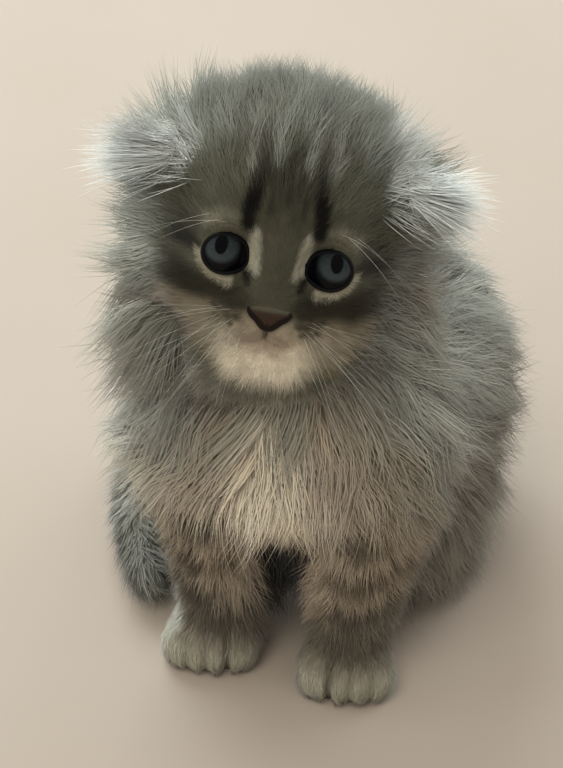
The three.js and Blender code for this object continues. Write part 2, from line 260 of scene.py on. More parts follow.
# Depths elsewhere.
BIB_DEPTH, LOW_CHEST_DEPTH, INNER_LEG_DEPTH = 4, 6.5, 3.0
FLOOR_DEPTH, FLOOR_RISE = 1.4, 0.75  # the most there is room for at the floor, and for each millimetre up
PAW_FLUFF, LEG_FLUFF, BETWEEN_FLUFF = 1.5, 0.8, 3.0


def ramp(low, high, value):
    """0 below low, 1 above high, and smooth between them."""
    share = np.clip((value - low) / (high - low), 0, 1)
    return share * share * (3 - 2 * share)


def region(points, ramps):
    """How far inside a region points are, from 0 to 1."""
    share = 1.0
    for axis, start, full in ramps:
        share = share * ramp(start, full, points[:, axis])
    return share


def folded(points, middle_x=0):
    """Points with the right half laid over the left one."""
    return np.column_stack([np.abs(points[:, 0] - middle_x), points[:, 1:]])


def unit(vectors):
    return vectors / np.maximum(np.linalg.norm(vectors, axis=-1, keepdims=True), 1e-9)


def solid(node):
    """A node's shape, in millimetres."""
    shape = bmesh.new()
    shape.from_mesh(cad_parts[node].data)
    shape.transform(Matrix.Scale(1 / MM, 4))
    bmesh.ops.remove_doubles(shape, verts=shape.verts, dist=0.01)
    return shape


def grid_skin(shapes, grid):
    """Closed shapes, in millimetres, joined into one even mesh."""
    made = placed("shapes", as_mesh("shapes", shapes))
    remesh = made.modifiers.new("grid", "REMESH")
    remesh.mode, remesh.voxel_size, remesh.use_smooth_shade = "VOXEL", grid, True
    fused = bpy.data.meshes.new_from_object(made.evaluated_get(bpy.context.evaluated_depsgraph_get()))
    bpy.data.objects.remove(made)
    return fused


def read(data, kind, name, width=3, numbers=float):
    values = np.zeros(len(getattr(data, kind)) * width, numbers)
    getattr(data, kind).foreach_get(name, values)
    return values.reshape(-1, width)


def move(data, points):
    data.vertices.foreach_set("co", points.ravel())
    data.update()


def averaged(values, edges, rounds, keep=0.0):
    """Each vertex's value moved towards its neighbours' mean, a number of times."""
    count = len(values)
    ends = np.concatenate([edges[:, 0], edges[:, 1]])
    others = np.concatenate([edges[:, 1], edges[:, 0]])
    near = np.maximum(np.bincount(ends, minlength=count), 1)[:, None]
    for _ in range(rounds):
        mean = np.stack([np.bincount(ends, column[others], count) for column in values.T], 1)
        values = keep * values + (1 - keep) * mean / near
    return values


def search_tree(points):
    made = KDTree(len(points))
    for i, p in enumerate(points):
        made.insert(p, i)
    made.balance()
    return made


def surface(points, faces):
    return BVHTree.FromPolygons([Vector(p) for p in points], faces)


def head_coat_depth(h):
    """Short on the face, longer over the crown, longest on the cheeks."""
    aside = folded(h)
    out_of_face = ramp(*OUT_OF_FACE, np.linalg.norm((h - FACE_MIDDLE) / FACE_SHAPE, axis=1))
    near_eye = np.hypot((aside[:, 0] - EYE_MIDDLE[0]) / EYE_STRETCH, h[:, 2] - EYE_MIDDLE[1])
    near_nose = np.hypot(h[:, 0], h[:, 2] - NOSE_UP)
    on_face = np.minimum(ramp(*AROUND_EYE, near_eye), ramp(*AROUND_NOSE, near_nose))
    long = CROWN_DEPTH + CHEEK_DEPTH * region(aside, CHEEK)
    return BARE_DEPTH + FACE_DEPTH * on_face + out_of_face * long * (1 - CHIN_CUT * region(aside, CHIN))


def coat_depth(points, share):
    """How deep the coat is over points of its outside, in millimetres."""
    depth = share @ np.array([d for _, d in GROUPS.values()], float)
    head_share = share[:, HEAD]
    depth += head_share * (head_coat_depth(to_head(points)) - GROUPS["head"][1])
    depth += (1 - head_share) * region(points, BIB) * BIB_DEPTH
    depth += INNER_LEG_DEPTH * region(points, INNER_SIDE) * share[:, LEG]
    low_chest = region(points, LOW_CHEST) * (share[:, NECK] + share[:, TRUNK])
    depth -= low_chest * np.maximum(depth - LOW_CHEST_DEPTH, 0)
    return np.minimum(depth, FLOOR_DEPTH + FLOOR_RISE * np.maximum(points[:, 2], 0))


def fluff(points, share):
    """How far the coat stands out of the solids: a little round the paws and between the front legs."""
    between = BETWEEN_FLUFF * region(folded(points, BODY_MIDDLE_X), BETWEEN_LEGS)
    legs = LEG_FLUFF + between + INNER_LEG_DEPTH * region(points, INNER_SIDE)
    return PAW_FLUFF * share[:, PAW] + share[:, LEG] * legs


shapes = bmesh.new()
outside_points, outside_faces, outside_group = [], [], []
for group, (nodes, _) in enumerate(GROUPS.values()):
    for node in nodes:
        flesh = solid(node)
        flesh.normal_update()
        start = len(outside_points)
        outside_points += [v.co.copy() for v in flesh.verts]
        outside_faces += [[start + v.index for v in f.verts] for f in flesh.faces]
        outside_group += [group] * len(flesh.faces)
        for v in flesh.verts:
            v.co += v.normal * GROWN
        shapes.from_mesh(as_mesh("flesh", flesh))
for centre in eye_centres.values():
    socket = bmesh.new()
    bmesh.ops.create_icosphere(
        socket, subdivisions=4, radius=EYE_RADIUS + LID_COVER, matrix=Matrix.Translation(centre))
    shapes.from_mesh(as_mesh("socket", socket))
outside = surface(outside_points, outside_faces)
outer = grid_skin(shapes, COARSE_GRID)
edges = read(outer, "edges", "vertices", 2, np.int32)
points = averaged(read(outer, "vertices", "co"), edges, rounds=4)
share = np.zeros((len(points), len(GROUPS)))
for i, p in enumerate(points):
    share[i, outside_group[outside.find_nearest(p)[2]]] = 1
share = averaged(share, edges, rounds=20)
depth = averaged(coat_depth(points, share)[:, None], edges, rounds=6)[:, 0]
sink = depth - averaged(fluff(points, share)[:, None], edges, rounds=4)[:, 0]
outline = surface(points, [p.vertices for p in outer.polygons])
for _ in range(SINK_STEPS):
    move(outer, points)
    normals = averaged(read(outer, "vertices", "normal"), edges, rounds=3)
    points = points - unit(normals) * (sink / SINK_STEPS)[:, None]
    points = averaged(points, edges, rounds=4, keep=0.5)
for _ in range(SETTLE_STEPS):
    move(outer, points)
    sunk = np.array([outline.find_nearest(p)[3] for p in points])
    short_of = np.clip(sunk - sink, -SETTLE_LIMIT, SETTLE_LIMIT)
    points = points + read(outer, "vertices", "normal") * short_of[:, None]
    points = averaged(points, edges, rounds=1, keep=0.6)
move(outer, points)
memory = search_tree(points)
shapes = bmesh.new()
shapes.from_mesh(outer)

# Ears: small thin flaps of skin and gristle, set wide on the skull. The fold that gives the breed its
# name bends each forward and down, so that its tip lies against the head.
EAR_ROOT = (34.5, 0, 15.5)  # of the left ear, in the head's frame
EAR_LEAN = 38  # degrees out over the side of the skull
EAR_HALF_WIDTH, EAR_THICK = 10.0, 2.6
EAR_POINTED = 0.96  # how far it narrows towards its tip
EAR_BACK, EAR_FORWARD = 5, 18  # where it starts and how far forward the fold carries the tip
EAR_LOW, EAR_RISE, EAR_FOLD = -5, 42, 38  # where it starts, how it climbs, and how the fold brings it down
EAR_CUP = 2.2  # how far its sides curl
EAR_NEAR = (4.5, 2.5)  # how far from the flap the skin still counts as ear
ear_points = []
for side, sign in SIDES.items():
    flap = bmesh.new()
    bmesh.ops.create_grid(flap, x_segments=10, y_segments=12, size=1)
    lean = Matrix.Rotation(math.radians(EAR_LEAN * sign), 3, "Y")
    for v in flap.verts:
        across, along = v.co.x, (v.co.y + 1) / 2
        v.co = Vector((
            across * (EAR_HALF_WIDTH * math.sqrt(1 - EAR_POINTED * along ** 2.4)),
            EAR_BACK - EAR_FORWARD * along ** 1.25,
            EAR_LOW + EAR_RISE * along - EAR_FOLD * along * along))
        v.co.y += EAR_CUP * (1 - along) * across * across
        v.co = lean @ v.co + Vector((EAR_ROOT[0] * sign, EAR_ROOT[1], EAR_ROOT[2]))
        v.co = head_turn @ v.co + head_middle
    ear_points += [v.co.copy() for v in flap.verts]
    bmesh.ops.solidify(flap, geom=flap.faces, thickness=EAR_THICK)
    bmesh.ops.recalc_face_normals(flap, faces=flap.faces)
    shapes.from_mesh(as_mesh("flap", flap))

skin_data = grid_skin(shapes, FINE_GRID)
edges = read(skin_data, "edges", "vertices", 2, np.int32)
points = averaged(read(skin_data, "vertices", "co"), edges, rounds=3, keep=0.4)
nearest = [memory.find(p)[1] for p in points]
ear_memory = search_tree(ear_points)
in_ear = ramp(*EAR_NEAR, np.array([ear_memory.find(p)[2] for p in points]))
skin_depth = depth[nearest] * (1 - in_ear) + in_ear * GROUPS["ear"][1]
skin_share = share[nearest] * (1 - in_ear[:, None]) + in_ear[:, None] * np.eye(len(GROUPS))[EAR]
skin_share = averaged(skin_share, edges, rounds=3)

# Face: the skin parts round each eye, swells over the lids, and is creased under the nose and along
# the mouth. The opening is an oval, a little narrower than the eyeball.
EYE_OPENING = (5.85, 5.1)  # half-width and half-height
EYE_SHIFT = (-0.45, 0.2)  # outwards and up from the eyeball's middle
LID_PLANE = 4.5  # how far in front of the eyeball's middle the lids stay, towards the nose
EYE_CORNER = (-150, 22, 0.1)  # the corner by the nose: its direction and width in degrees, its reach
LID_PROUD, LID_SWELL, BALL_GAP = -0.1, 0.8, 0.9  # over and under the eyeball
SWELL_FROM, SWELL_TO, LID_BLEND, LID_END = 1.1, 1.7, (1.75, 1.2), 1.8  # as shares of the opening
OPEN_TO = 1.03
EYE_REACH, EYE_BEHIND, LID_OUTER = 16, -2, 5  # millimetres from the eyeball's middle
FACE_BACK = -15  # what lies behind it in the head's frame isn't face
MOUTH = ((0, -19.8), (0, -24.3), (2.5, -26.3), (6.0, -26.6), (9.5, -25.0))
MOUTH_DEEP, MOUTH_WIDE = 0.6, 1.9


def corner_reach(turn):
    """How far the edge of the opening lies, against a plain oval, in a direction from its middle."""
    direction, width, reach = EYE_CORNER
    gap = (np.degrees(turn) - direction + 180) % 360 - 180
    return 1 + reach * np.exp(-(gap / width) ** 2)


def eye_oval(across, up, sign):
    """0 in the middle of the eye's opening and 1 along its edge."""
    u, v = (across * sign - EYE_SHIFT[0]) / EYE_OPENING[0], (up - EYE_SHIFT[1]) / EYE_OPENING[1]
    return np.hypot(u, v) / corner_reach(np.arctan2(v, u))


def line_gap(points, places):
    """How far points are from a line through the places."""
    gap = np.full(len(points), 1e9)
    for a, b in zip(places, places[1:]):
        a, b = np.array(a, float), np.array(b, float)
        along = np.clip((points - a) @ (b - a) / ((b - a) @ (b - a)), 0, 1)
        gap = np.minimum(gap, np.linalg.norm(points - a - along[:, None] * (b - a), axis=1))
    return gap


h = to_head(points)
for side, sign in SIDES.items():
    across, behind, above = (h - eye_in_head[side]).T
    ahead = -behind
    reach = np.linalg.norm(h - eye_in_head[side], axis=1)
    off_axis = np.hypot(across, above)
    oval = eye_oval(across, above, sign)
    swell = EYE_RADIUS + LID_PROUD + LID_SWELL * ramp(SWELL_FROM, SWELL_TO, oval)
    ball = np.sqrt(np.maximum(swell ** 2 - off_axis ** 2, 0))
    lids = np.maximum(ball, np.where(across * sign < 0, LID_PLANE, np.minimum(ahead, LID_OUTER)))
    hollow = np.sqrt(np.maximum((EYE_RADIUS - BALL_GAP) ** 2 - off_axis ** 2, 1))
    lowered = ahead + (lids - ahead) * ramp(*LID_BLEND, oval)
    ahead_now = np.where(oval < OPEN_TO, hollow, np.where(ahead < lids, lids, lowered))
    beside_ball = (ahead < lids) & (off_axis > swell)
    near = (ahead > EYE_BEHIND) & (reach < EYE_REACH)
    moved = near & (oval < LID_END) & ~beside_ball
    h[moved, 1] = (eye_in_head[side][1] - ahead_now)[moved]
crease = line_gap(folded(h)[:, ::2], MOUTH)
h[:, 1] += np.where(h[:, 1] < FACE_BACK, MOUTH_DEEP * ramp(MOUTH_WIDE, 0.0, crease), 0)
points = from_head(h)

# Toes: four to a front paw, with a groove between each two over its front. The paws point a little
# to the kitten's left.
PAW_TURN = math.radians(15)
TOE_GAPS = {  # place across the paw from its middle, and how deep the gap is beside the others
    "left": ((-6.5, 1.0), (0.3, 0.4), (7.0, 0.35)),
    "right": ((-9.0, 0.35), (-3.0, 0.4), (4.0, 1.0)),
}
TOE_WAY = np.array([math.sin(PAW_TURN), -math.cos(PAW_TURN), 0])
ACROSS_PAW = np.array([math.cos(PAW_TURN), math.sin(PAW_TURN), 0])
TOE_DEEP, GAP_WIDE = 2.0, 1.6
TOES_FROM, TOES_TO, PAW_HALF_WIDTH, PAW_TOP = 3, 10, 17, 24
paw_middles = {side: np.array(middle(f"front_paw_{side}")) for side in SIDES}


def toe_gap(points, side):
    """How near points of a paw are to the gaps between its toes, from 0 to 1."""
    away = points - paw_middles[side]
    across, ahead = away @ ACROSS_PAW, away @ TOE_WAY
    gaps = [ramp(GAP_WIDE, 0.0, np.abs(across - place)) * deep for place, deep in TOE_GAPS[side]]
    on_paw = (np.abs(across) < PAW_HALF_WIDTH) & (points[:, 2] < PAW_TOP)
    return np.max(gaps, axis=0) * ramp(TOES_FROM, TOES_TO, ahead) * on_paw


for side in SIDES:
    away = points - paw_middles[side]
    points -= toe_gap(points, side)[:, None] * TOE_DEEP * unit(away * (1, 1, 0.8))
move(skin_data, points)
skin_data.calc_loop_triangles()
skin_normals = read(skin_data, "vertices", "normal")
triangles = read(skin_data, "loop_triangles", "vertices", 3, np.int32)
print("skin", len(triangles), "triangles")

# Markings: a silver tabby. The same function colours the skin and every tuft of the coat. A mark is a
# soft line through a few places, in the head's frame for the face and in the kitten's for the body.


def shade(red, green, blue):
    """A colour given as it shows on a screen, as light, in an array."""
    return np.array(linear(red, green, blue)[:3])


COOL_GREY = shade(178, 179, 169)
CROWN_GREY = shade(128, 130, 120)
SILVER = shade(206, 208, 198)
# silver with painted light: near white, as the light catches the hair by the ears
EAR_SILVER_AND_LIGHT = shade(242, 246, 240)
WARM_GREY = shade(134, 125, 111)
BROWN = shade(92, 91, 76)
UMBER = shade(50, 46, 36)
FAWN = shade(186, 169, 147)
SLATE = shade(84, 78, 66)
BAND = shade(58, 52, 43)
GREY_LOCK = shade(196, 194, 180)
CHARCOAL = shade(20, 18, 16)
SHADOW = shade(4, 3, 3)
OATMEAL = shade(172, 168, 147)
MUZZLE_GREY = shade(150, 139, 117)
CREAM = shade(240, 228, 204)
WHITE = shade(202, 200, 180)
MOUTH_SHADOW = shade(112, 84, 72)
GROUP_COLOURS = np.array(
    [CROWN_GREY, COOL_GREY, COOL_GREY, COOL_GREY, WARM_GREY, WARM_GREY, COOL_GREY, COOL_GREY])
FACE_MARKS = [
    # colour, strength, half-width, soft edge, places across and up, on both sides of the face
    (UMBER, 0.88, 3.2, 5.2, ((11, -16.2), (20, -17.4), (31, -15))),
    (UMBER, 0.3, 3.0, 6.0, ((3, 12), (5, 24))),
    (UMBER, 0.45, 2.0, 5.0, ((27, -1), (34, -2))),
    (CHARCOAL, 0.75, 0.8, 3.0, ((24, -3.6), (31, -3.2), (38, -6))),
    (BROWN, 0.8, 2.0, 2.5, ((0, 6), (0, -12))),
    (WHITE, 0.9, 0.5, 1.9, ((7.5, 3.4), (6.9, -1.5), (6.1, -6.4))),
    (OATMEAL, 0.95, 0.3, 1.4, ((22.2, -4.6), (20.4, -8.2), (17.2, -10.4), (12.2, -10.8))),
    (OATMEAL, 0.35, 0.8, 2.4, ((10.5, 4.6), (16, 6.2), (21.5, 4))),
    (MUZZLE_GREY, 0.8, 1.5, 4.8, ((10, -23.2), (18, -24.6), (28, -23))),
    (MUZZLE_GREY, 0.9, 4.0, 5.5, ((0, -24), (9, -26), (18, -26))),
    (CREAM, 0.12, 1.5, 5.0, ((6, -21.5), (12, -25.5), (20, -26))),
    (CREAM, 1.0, 3.3, 7.5, ((0, -30.2), (6, -30.2))),
    (CHARCOAL, 0.97, 1.0, 2.4, ((9.9, 5.4), (9.8, 10), (9.2, 14.5))),
    (CHARCOAL, 0.8, 0.2, 1.6, ((9.2, 14), (7.9, 20), (7.6, 26))),
    (CHARCOAL, 0.6, 0.1, 1.1, ((11.0, 9), (10.8, 15), (9.6, 22))),
    (CHARCOAL, 0.55, 0.1, 1.1, ((8.3, 11), (7.0, 17), (5.6, 21))),
    (CHARCOAL, 0.45, 0.1, 1.3, ((4.6, 9.5), (4.8, 17), (4.0, 24))),
    (CHARCOAL, 0.4, 0.1, 1.3, ((2.4, 15), (2.6, 21), (1.6, 27))),
    (CHARCOAL, 0.5, 0.2, 1.6, ((0, 14), (0, 28))),
    (SLATE, 0.5, 1.0, 4.0, ((15, 27), (16, 36))),
    (SILVER, 0.3, 0.3, 2.5, ((4.5, 24), (5.2, 34))),
    (SILVER, 0.25, 0.3, 2.5, ((11.5, 22), (11.8, 32))),
    (SLATE, 0.5, 0.8, 3.5, ((8.4, 24), (8.6, 38))),
    (UMBER, 0.85, 0.2, 0.8, MOUTH[:2]),
    # painted shadow: a soft shade under the nose, over the mouth
    (MOUTH_SHADOW, 0.5, 1.2, 4.2, ((0, -25.2), (4.2, -26.2))),
    (UMBER, 0.75, 0.6, 1.0, ((8.4, -19.2), (9.0, -19.3))),
    (UMBER, 0.75, 0.6, 1.0, ((11.2, -19.8), (11.9, -19.8))),
    (UMBER, 0.8, 0.6, 1.0, ((14.5, -19.6), (15.2, -19.4))),
    (UMBER, 0.8, 0.5, 1.0, ((10.0, -21.9), (10.8, -21.9))),
    (UMBER, 0.7, 0.5, 1.0, ((13.4, -22.2), (14.2, -22.1))),
    (CHARCOAL, 0.85, 0.5, 1.0, ((8.3, -8.2), (7.2, -10.2))),
]
HEAD_SPOTS = [
    # colour, strength, radius, soft edge, place in the head's frame, whether on both sides
    # silver with painted light on the bands of hair by the ears
    (EAR_SILVER_AND_LIGHT, 0.9, 3.5, 4.5, (32, -11, 19), True),
    (EAR_SILVER_AND_LIGHT, 0.95, 4, 5, (39, -12, 14), True),
    (EAR_SILVER_AND_LIGHT, 0.9, 4, 5, (47, -9, 11), True),
    (EAR_SILVER_AND_LIGHT, 0.45, 4, 5, (33, -8, 23), True),
    # painted shade in the hollow under the fold of each ear
    (CHARCOAL, 0.3, 1.5, 3.6, (40.5, -7, 18.5), True),
    (BROWN, 0.8, 4, 5, (33, -12, 6), True),
    # painted light: the kitten's right ruff is paler where the window lights it
    (SILVER, 0.75, 9, 9, (-39, 1, -48), False),
    (FAWN, 0.5, 5, 9, (28, -6, -28), True),
    (SILVER, 0.25, 6, 10, (20, -5, -44), True),
    # painted shade on the kitten's left cheek and the side of its head, away from the window
    (SLATE, 0.4, 7, 9, (46, 2, -6), False),
    (WARM_GREY, 0.7, 8, 9, (47, 5, -17), False),
    (WARM_GREY, 0.7, 8, 9, (42, 1, -34), False),
    (BROWN, 0.3, 4, 5, (-11, -25, -25.5), False),
    (EAR_SILVER_AND_LIGHT, 0.55, 4, 6, (31, -3, 32), False),
    # more painted shade under the fold of the left ear, away from the window
    (CHARCOAL, 0.45, 2.5, 4, (41, -13, 19), False),
    # painted light on the kitten's right cheek and ruff, which face the window
    (SILVER, 0.3, 7, 10, (-30, 4, -38), False),
    (FAWN, 0.5, 6, 10, (-30, -3, -32), False),
    (SLATE, 0.35, 10, 16, (-10, 0, 38), False),
]
BODY_MARKS = [
    # colour, strength, half-width, soft edge, places in the kitten's frame
    (FAWN, 0.8, 26, 16, ((16, -60, 78), (14, -56, 60))),
    (FAWN, 0.6, 12, 10, ((-18, -56, 74), (-16, -58, 50))),
    (FAWN, 0.6, 12, 10, ((48, -50, 74), (42, -54, 50))),
    (GREY_LOCK, 0.85, 12, 8, ((15, -70, 110), (15, -70, 98))),
    (CREAM, 0.92, 8, 4.5, ((14, -68, 82), (12, -62, 70), (12, -60, 64))),
    (BAND, 0.85, 2.4, 3.0, ((-28, -50, 60), (-14, -60, 52), (-2, -60, 56))),
    (BAND, 0.85, 2.0, 2.8, ((-26, -52, 45), (-14, -61, 38), (-2, -60, 42))),
    (BAND, 0.75, 1.8, 2.8, ((-24, -54, 31), (-12, -62, 26), (-2, -60, 29))),
    (SLATE, 0.7, 2.4, 5.0, ((-34, -50, 76), (-24, -58, 68), (-12, -62, 68))),
    (BAND, 0.8, 2.4, 3.0, ((52, -46, 66), (40, -58, 56), (28, -60, 59))),
    (BAND, 0.8, 2.0, 2.8, ((51, -48, 49), (40, -58, 42), (27, -60, 45))),
    (BAND, 0.7, 1.8, 2.8, ((50, -50, 35), (38, -60, 29), (26, -62, 32))),
    (SLATE, 0.7, 2.4, 5.0, ((54, -40, 88), (56, -50, 78), (40, -58, 74))),
    # painted shadow: the belly fur between the front legs is near black, as the shade under the body
    (SHADOW, 0.98, 11.5, 6, ((13, -40, 32), (14, -8, 24))),
    (UMBER, 0.45, 3.5, 4.5, ((-20, -58, 20), (-6, -62, 19), (4, -58, 20))),
    (UMBER, 0.4, 3.5, 4.5, ((24, -60, 20), (37, -62, 19), (50, -58, 20))),
    # painted shade on the kitten's left shoulder, in the shadow of its cheek and ear
    (SLATE, 0.6, 4, 5, ((37, 23, 104), (40, 8, 104))),
    # painted light along the outer edge of the right front paw, where the window lights it
    (SILVER, 0.7, 3, 5, ((-21, -56, 18), (-20, -62, 8))),
    (SLATE, 0.7, 3.0, 5.0, ((58, -30, 104), (64, -10, 84), (62, 6, 60))),
    (SLATE, 0.75, 3.0, 5.0, ((56, 0, 104), (66, 22, 82), (64, 34, 52))),
    (SLATE, 0.75, 3.0, 5.0, ((-38, -14, 104), (-40, 6, 80), (-38, 22, 52))),
    (SLATE, 0.75, 3.0, 5.0, ((-30, 12, 104), (-34, 36, 76), (-34, 44, 44))),
    (BAND, 0.75, 3.5, 5.0, ((10, 0, 122), (16, 40, 106), (18, 68, 74))),
    (BAND, 0.6, 1.6, 3.6, ((-2, 0, 120), (0, 40, 104), (4, 66, 74))),
    (BAND, 0.6, 1.6, 3.6, ((26, 2, 118), (32, 40, 102), (32, 66, 72))),
    (SLATE, 0.4, 9, 8, ((-44, -34, 8), (-34, -50, 8))),
    (SLATE, 0.6, 3, 4, ((-62, 4, 10), (-50, 4, 10))),
    (SLATE, 0.6, 3, 4, ((-58, 26, 10), (-46, 20, 10))),
]
PAW_LIGHT = (0.6, 17, 8)  # strength, and the heights where it starts and is full
# painted shade in the grooves between the toes
TOE_GAP_SHADE = 0.85
SIDE_SILVER, JAW_GREY = (0.45, 37, 46), (0.5, -26, -40)  # the same, outwards and up on the head
LOW_GREY = (0.85, 98, 50)  # the same, up on the body
MASK_MIDDLE, MASK_SHAPE, MASK_EDGE = (0, -28, -4), (1.35, 1, 1.1), (38, 29)
FACE_FRONT, EAR_CLEAR = (-8, -16), 0.7  # where face marks start, and how much weaker they are on ears


def paint(colours, colour, share):
    return colours + (colour - colours) * share[:, None]


def markings(points, share):
    """The coat's colour at points on the kitten, as light."""
    h = to_head(points)
    aside = folded(h)
    colours = share @ GROUP_COLOURS
    on_head = share[:, HEAD] + share[:, EAR]
    off_head = 1 - share[:, HEAD] - share[:, EAR]
    # The face is warmer and darker than the crown, and silver hair frames it.
    mask = ramp(*MASK_EDGE, np.linalg.norm((h - MASK_MIDDLE) / MASK_SHAPE, axis=1))
    colours = paint(colours, SILVER, SIDE_SILVER[0] * ramp(*SIDE_SILVER[1:], aside[:, 0]) * on_head)
    colours = paint(colours, WARM_GREY, JAW_GREY[0] * ramp(*JAW_GREY[1:], h[:, 2]) * on_head)
    colours = paint(colours, BROWN, mask * on_head)
    low = LOW_GREY[0] * off_head * ramp(*LOW_GREY[1:], points[:, 2])
    colours = paint(colours, WARM_GREY, low * (1 - share[:, TAIL]))
    front = ramp(*FACE_FRONT, h[:, 1]) * (1 - EAR_CLEAR * share[:, EAR]) * ramp(0.15, 0.6, on_head)
    for marks, seen, where in ((BODY_MARKS, points, off_head), (FACE_MARKS, aside[:, ::2], front)):
        for colour, strength, half, soft, places in marks:
            line = ramp(half + soft, half, line_gap(seen, places))
            colours = paint(colours, colour, strength * line * where)
    for colour, strength, half, soft, spot, both in HEAD_SPOTS:
        gap = np.linalg.norm((aside if both else h) - spot, axis=1)
        colours = paint(colours, colour, strength * ramp(half + soft, half, gap) * on_head)
    colours = paint(colours, WHITE, PAW_LIGHT[0] * share[:, PAW] * ramp(*PAW_LIGHT[1:], points[:, 2]))
    # painted shade in the grooves between the toes
    for side in SIDES:
        colours = paint(colours, SLATE, TOE_GAP_SHADE * toe_gap(points, side) * share[:, PAW])
    return colours


def colour_layer(data, colours):
    layer = data.color_attributes.new("coat_colour", "FLOAT_COLOR", "POINT")
    layer.data.foreach_set("color", np.column_stack([colours, np.ones(len(colours))]).ravel())


def attribute(tree, name, output=0):
    return Socket.node(tree, "ShaderNodeAttribute", {"attribute_name": name}, output=output)


def bump(tree, shader, strength, distance, height):
    feed(shader, "Normal", Socket.node(
        tree, "ShaderNodeBump", inputs={"Strength": strength, "Distance": distance, "Height": height}))


# The skin is painted a little darker than the coat: painted shade, for the shadow deep in the coat.
SKIN_PAINTED_SHADE = (0.72, 0.7, 0.68, 1)
colour_layer(skin_data, markings(points, skin_share))
skin_data.transform(Matrix.Scale(MM, 4))
skin = placed("skin", skin_data)
hide, tree, shader = material("hide", 0.85, Specular_IOR_Level=0.2)
feed(shader, "Base Color", blend(tree, 1.0, attribute(tree, "coat_colour"), SKIN_PAINTED_SHADE, "MULTIPLY"))
bump(tree, shader, 0.6, 0.0004, texture(tree, "ShaderNodeTexNoise", 1400.0, Detail=3.0))
skin_data.materials.clear()
skin_data.materials.append(hide)
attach(skin, "root")
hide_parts(*[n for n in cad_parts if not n.startswith("eye") and n != "nose"])

# Coat: long guard hair over soft down. Every tuft is a thin closed spike that leaves the skin
# steeply, bends over and lies down along the body, and leans in towards the tip of its lock. A tuft
# of down is shorter, wider and straight.
random = np.random.default_rng(7)
TAIL_PATH = (
    (3, 49, 12), (-19, 54, 10), (-43, 41, 9), (-56, 20, 9), (-56, -1, 9), (-50, -18, 9), (-36, -41, 9))
NOSE_TIP = (0, -36, -15)
NAPE, NAPE_WAY = ((BACK, 8, 34),), np.array([0, 0.6, -1.2])
JOWL = ((ACROSS, 12, 30), (UP, 20, 0))
SIDE_HIGH, SIDE_LOW = ((ACROSS, 20, 34), (UP, 10, -6)), ((ACROSS, 20, 34), (UP, -4, -20))
LID_FLOW, LID_FLOW_EDGE, LID_FLOW_BACK = 2.2, (12, 7), -10
FRONT = ((BACK, -15, -45),)
BARE_NOSE, BARE_NOSE_UP, BARE_NOSE_TOP = (6.0, 3.1), -17.7, -16.4
BARE_RIM = 1.15


def heading_of(x, y, z):
    """Ways with these parts, each a number or one for each point."""
    return unit(np.column_stack(np.broadcast_arrays(x, y, z)))


def lie_of_coat(points, normals, share):
    """Which way the coat lies along the skin."""
    h = to_head(points)
    aside, side = folded(h), np.sign(h[:, 0])
    # Head: away from the nose, then down the back of the head, and away from the eyes.
    flow = unit(h - NOSE_TIP) + region(h, NAPE)[:, None] * NAPE_WAY
    flow[:, 0] += 0.5 * side * region(aside, JOWL)
    flow[:, 2] -= 0.4 * region(aside, SIDE_HIGH) + 0.5 * region(aside, SIDE_LOW)
    for eye in eye_in_head.values():
        away = (h - eye) * (1, 0, 1)
        gap = np.linalg.norm(away, axis=1)
        flow += unit(away) * (LID_FLOW * ramp(*LID_FLOW_EDGE, gap) * (h[:, 1] < LID_FLOW_BACK))[:, None]
    ways = share[:, [HEAD]] * unit(flow @ HEAD_AXES.T)
    # Ears: from the fold out over the side of the head.
    ways += share[:, [EAR]] * (heading_of(0.95 * side, -0.3, -0.3) @ HEAD_AXES.T)
    # Chest and neck: down, and spreading to the sides. Back and flanks: to the tail and down.
    x = points[:, 0] - BODY_MIDDLE_X
    front = region(points, FRONT)[:, None]
    trunk = heading_of(x / 38, -0.1, -1.0) * front + heading_of(np.sign(x) * 0.25, 0.8, -0.75) * (1 - front)
    ways += (share[:, [NECK]] + share[:, [TRUNK]]) * trunk
    ways += share[:, [THIGH]] * heading_of(np.sign(x) * 0.2, 0.35, -1)
    for paw in paw_middles.values():
        beside = points[:, 0] - paw[0]
        near = ramp(30, 15, np.abs(beside))[:, None]
        ways += share[:, [LEG]] * near * heading_of(beside / 22, 0.05, -1)
    ways += share[:, [PAW]] * unit(TOE_WAY - (0, 0, 0.35))
    # Tail: along it to its tip.
    tail_way, best = np.zeros_like(points), np.full(len(points), 1e9)
    for a, b in zip(TAIL_PATH, TAIL_PATH[1:]):
        gap = line_gap(points, (a, b))
        tail_way[gap < best] = unit(np.subtract(b, a))
        best = np.minimum(best, gap)
    ways += share[:, [TAIL]] * tail_way
    return unit(ways - normals * (ways * normals).sum(1, keepdims=True))


def bare(h):
    """True where no coat grows: in the eye openings and under the nose leather."""
    wide, high = BARE_NOSE
    bald = (np.hypot(h[:, 0] / wide, (h[:, 2] - BARE_NOSE_UP) / high) < 1) & (h[:, 2] < BARE_NOSE_TOP)
    for side, sign in SIDES.items():
        across, _, above = (h - eye_in_head[side]).T
        bald |= eye_oval(across, above, sign) < BARE_RIM
    return bald & (h[:, 1] < FACE_BACK)


def unwrapped(faces):
    """A part of the skin laid flat: where each corner of each face comes to lie."""
    used, corners = np.unique(faces, return_inverse=True)
    data = bpy.data.meshes.new("part")
    data.from_pydata(points[used].tolist(), [], corners.reshape(-1, 3).tolist())
    part = placed("part", data)
    bpy.context.view_layer.objects.active = part
    part.select_set(True)
    bpy.ops.object.mode_set(mode="EDIT")
    bpy.ops.mesh.select_all(action="SELECT")
    bpy.ops.uv.smart_project(angle_limit=math.radians(66), island_margin=0.004)
    bpy.ops.object.mode_set(mode="OBJECT")
    places = np.zeros(len(data.loops) * 2)
    data.uv_layers[0].uv.foreach_get("vector", places)
    bpy.data.objects.remove(part)
    return places.reshape(-1, 3, 2)


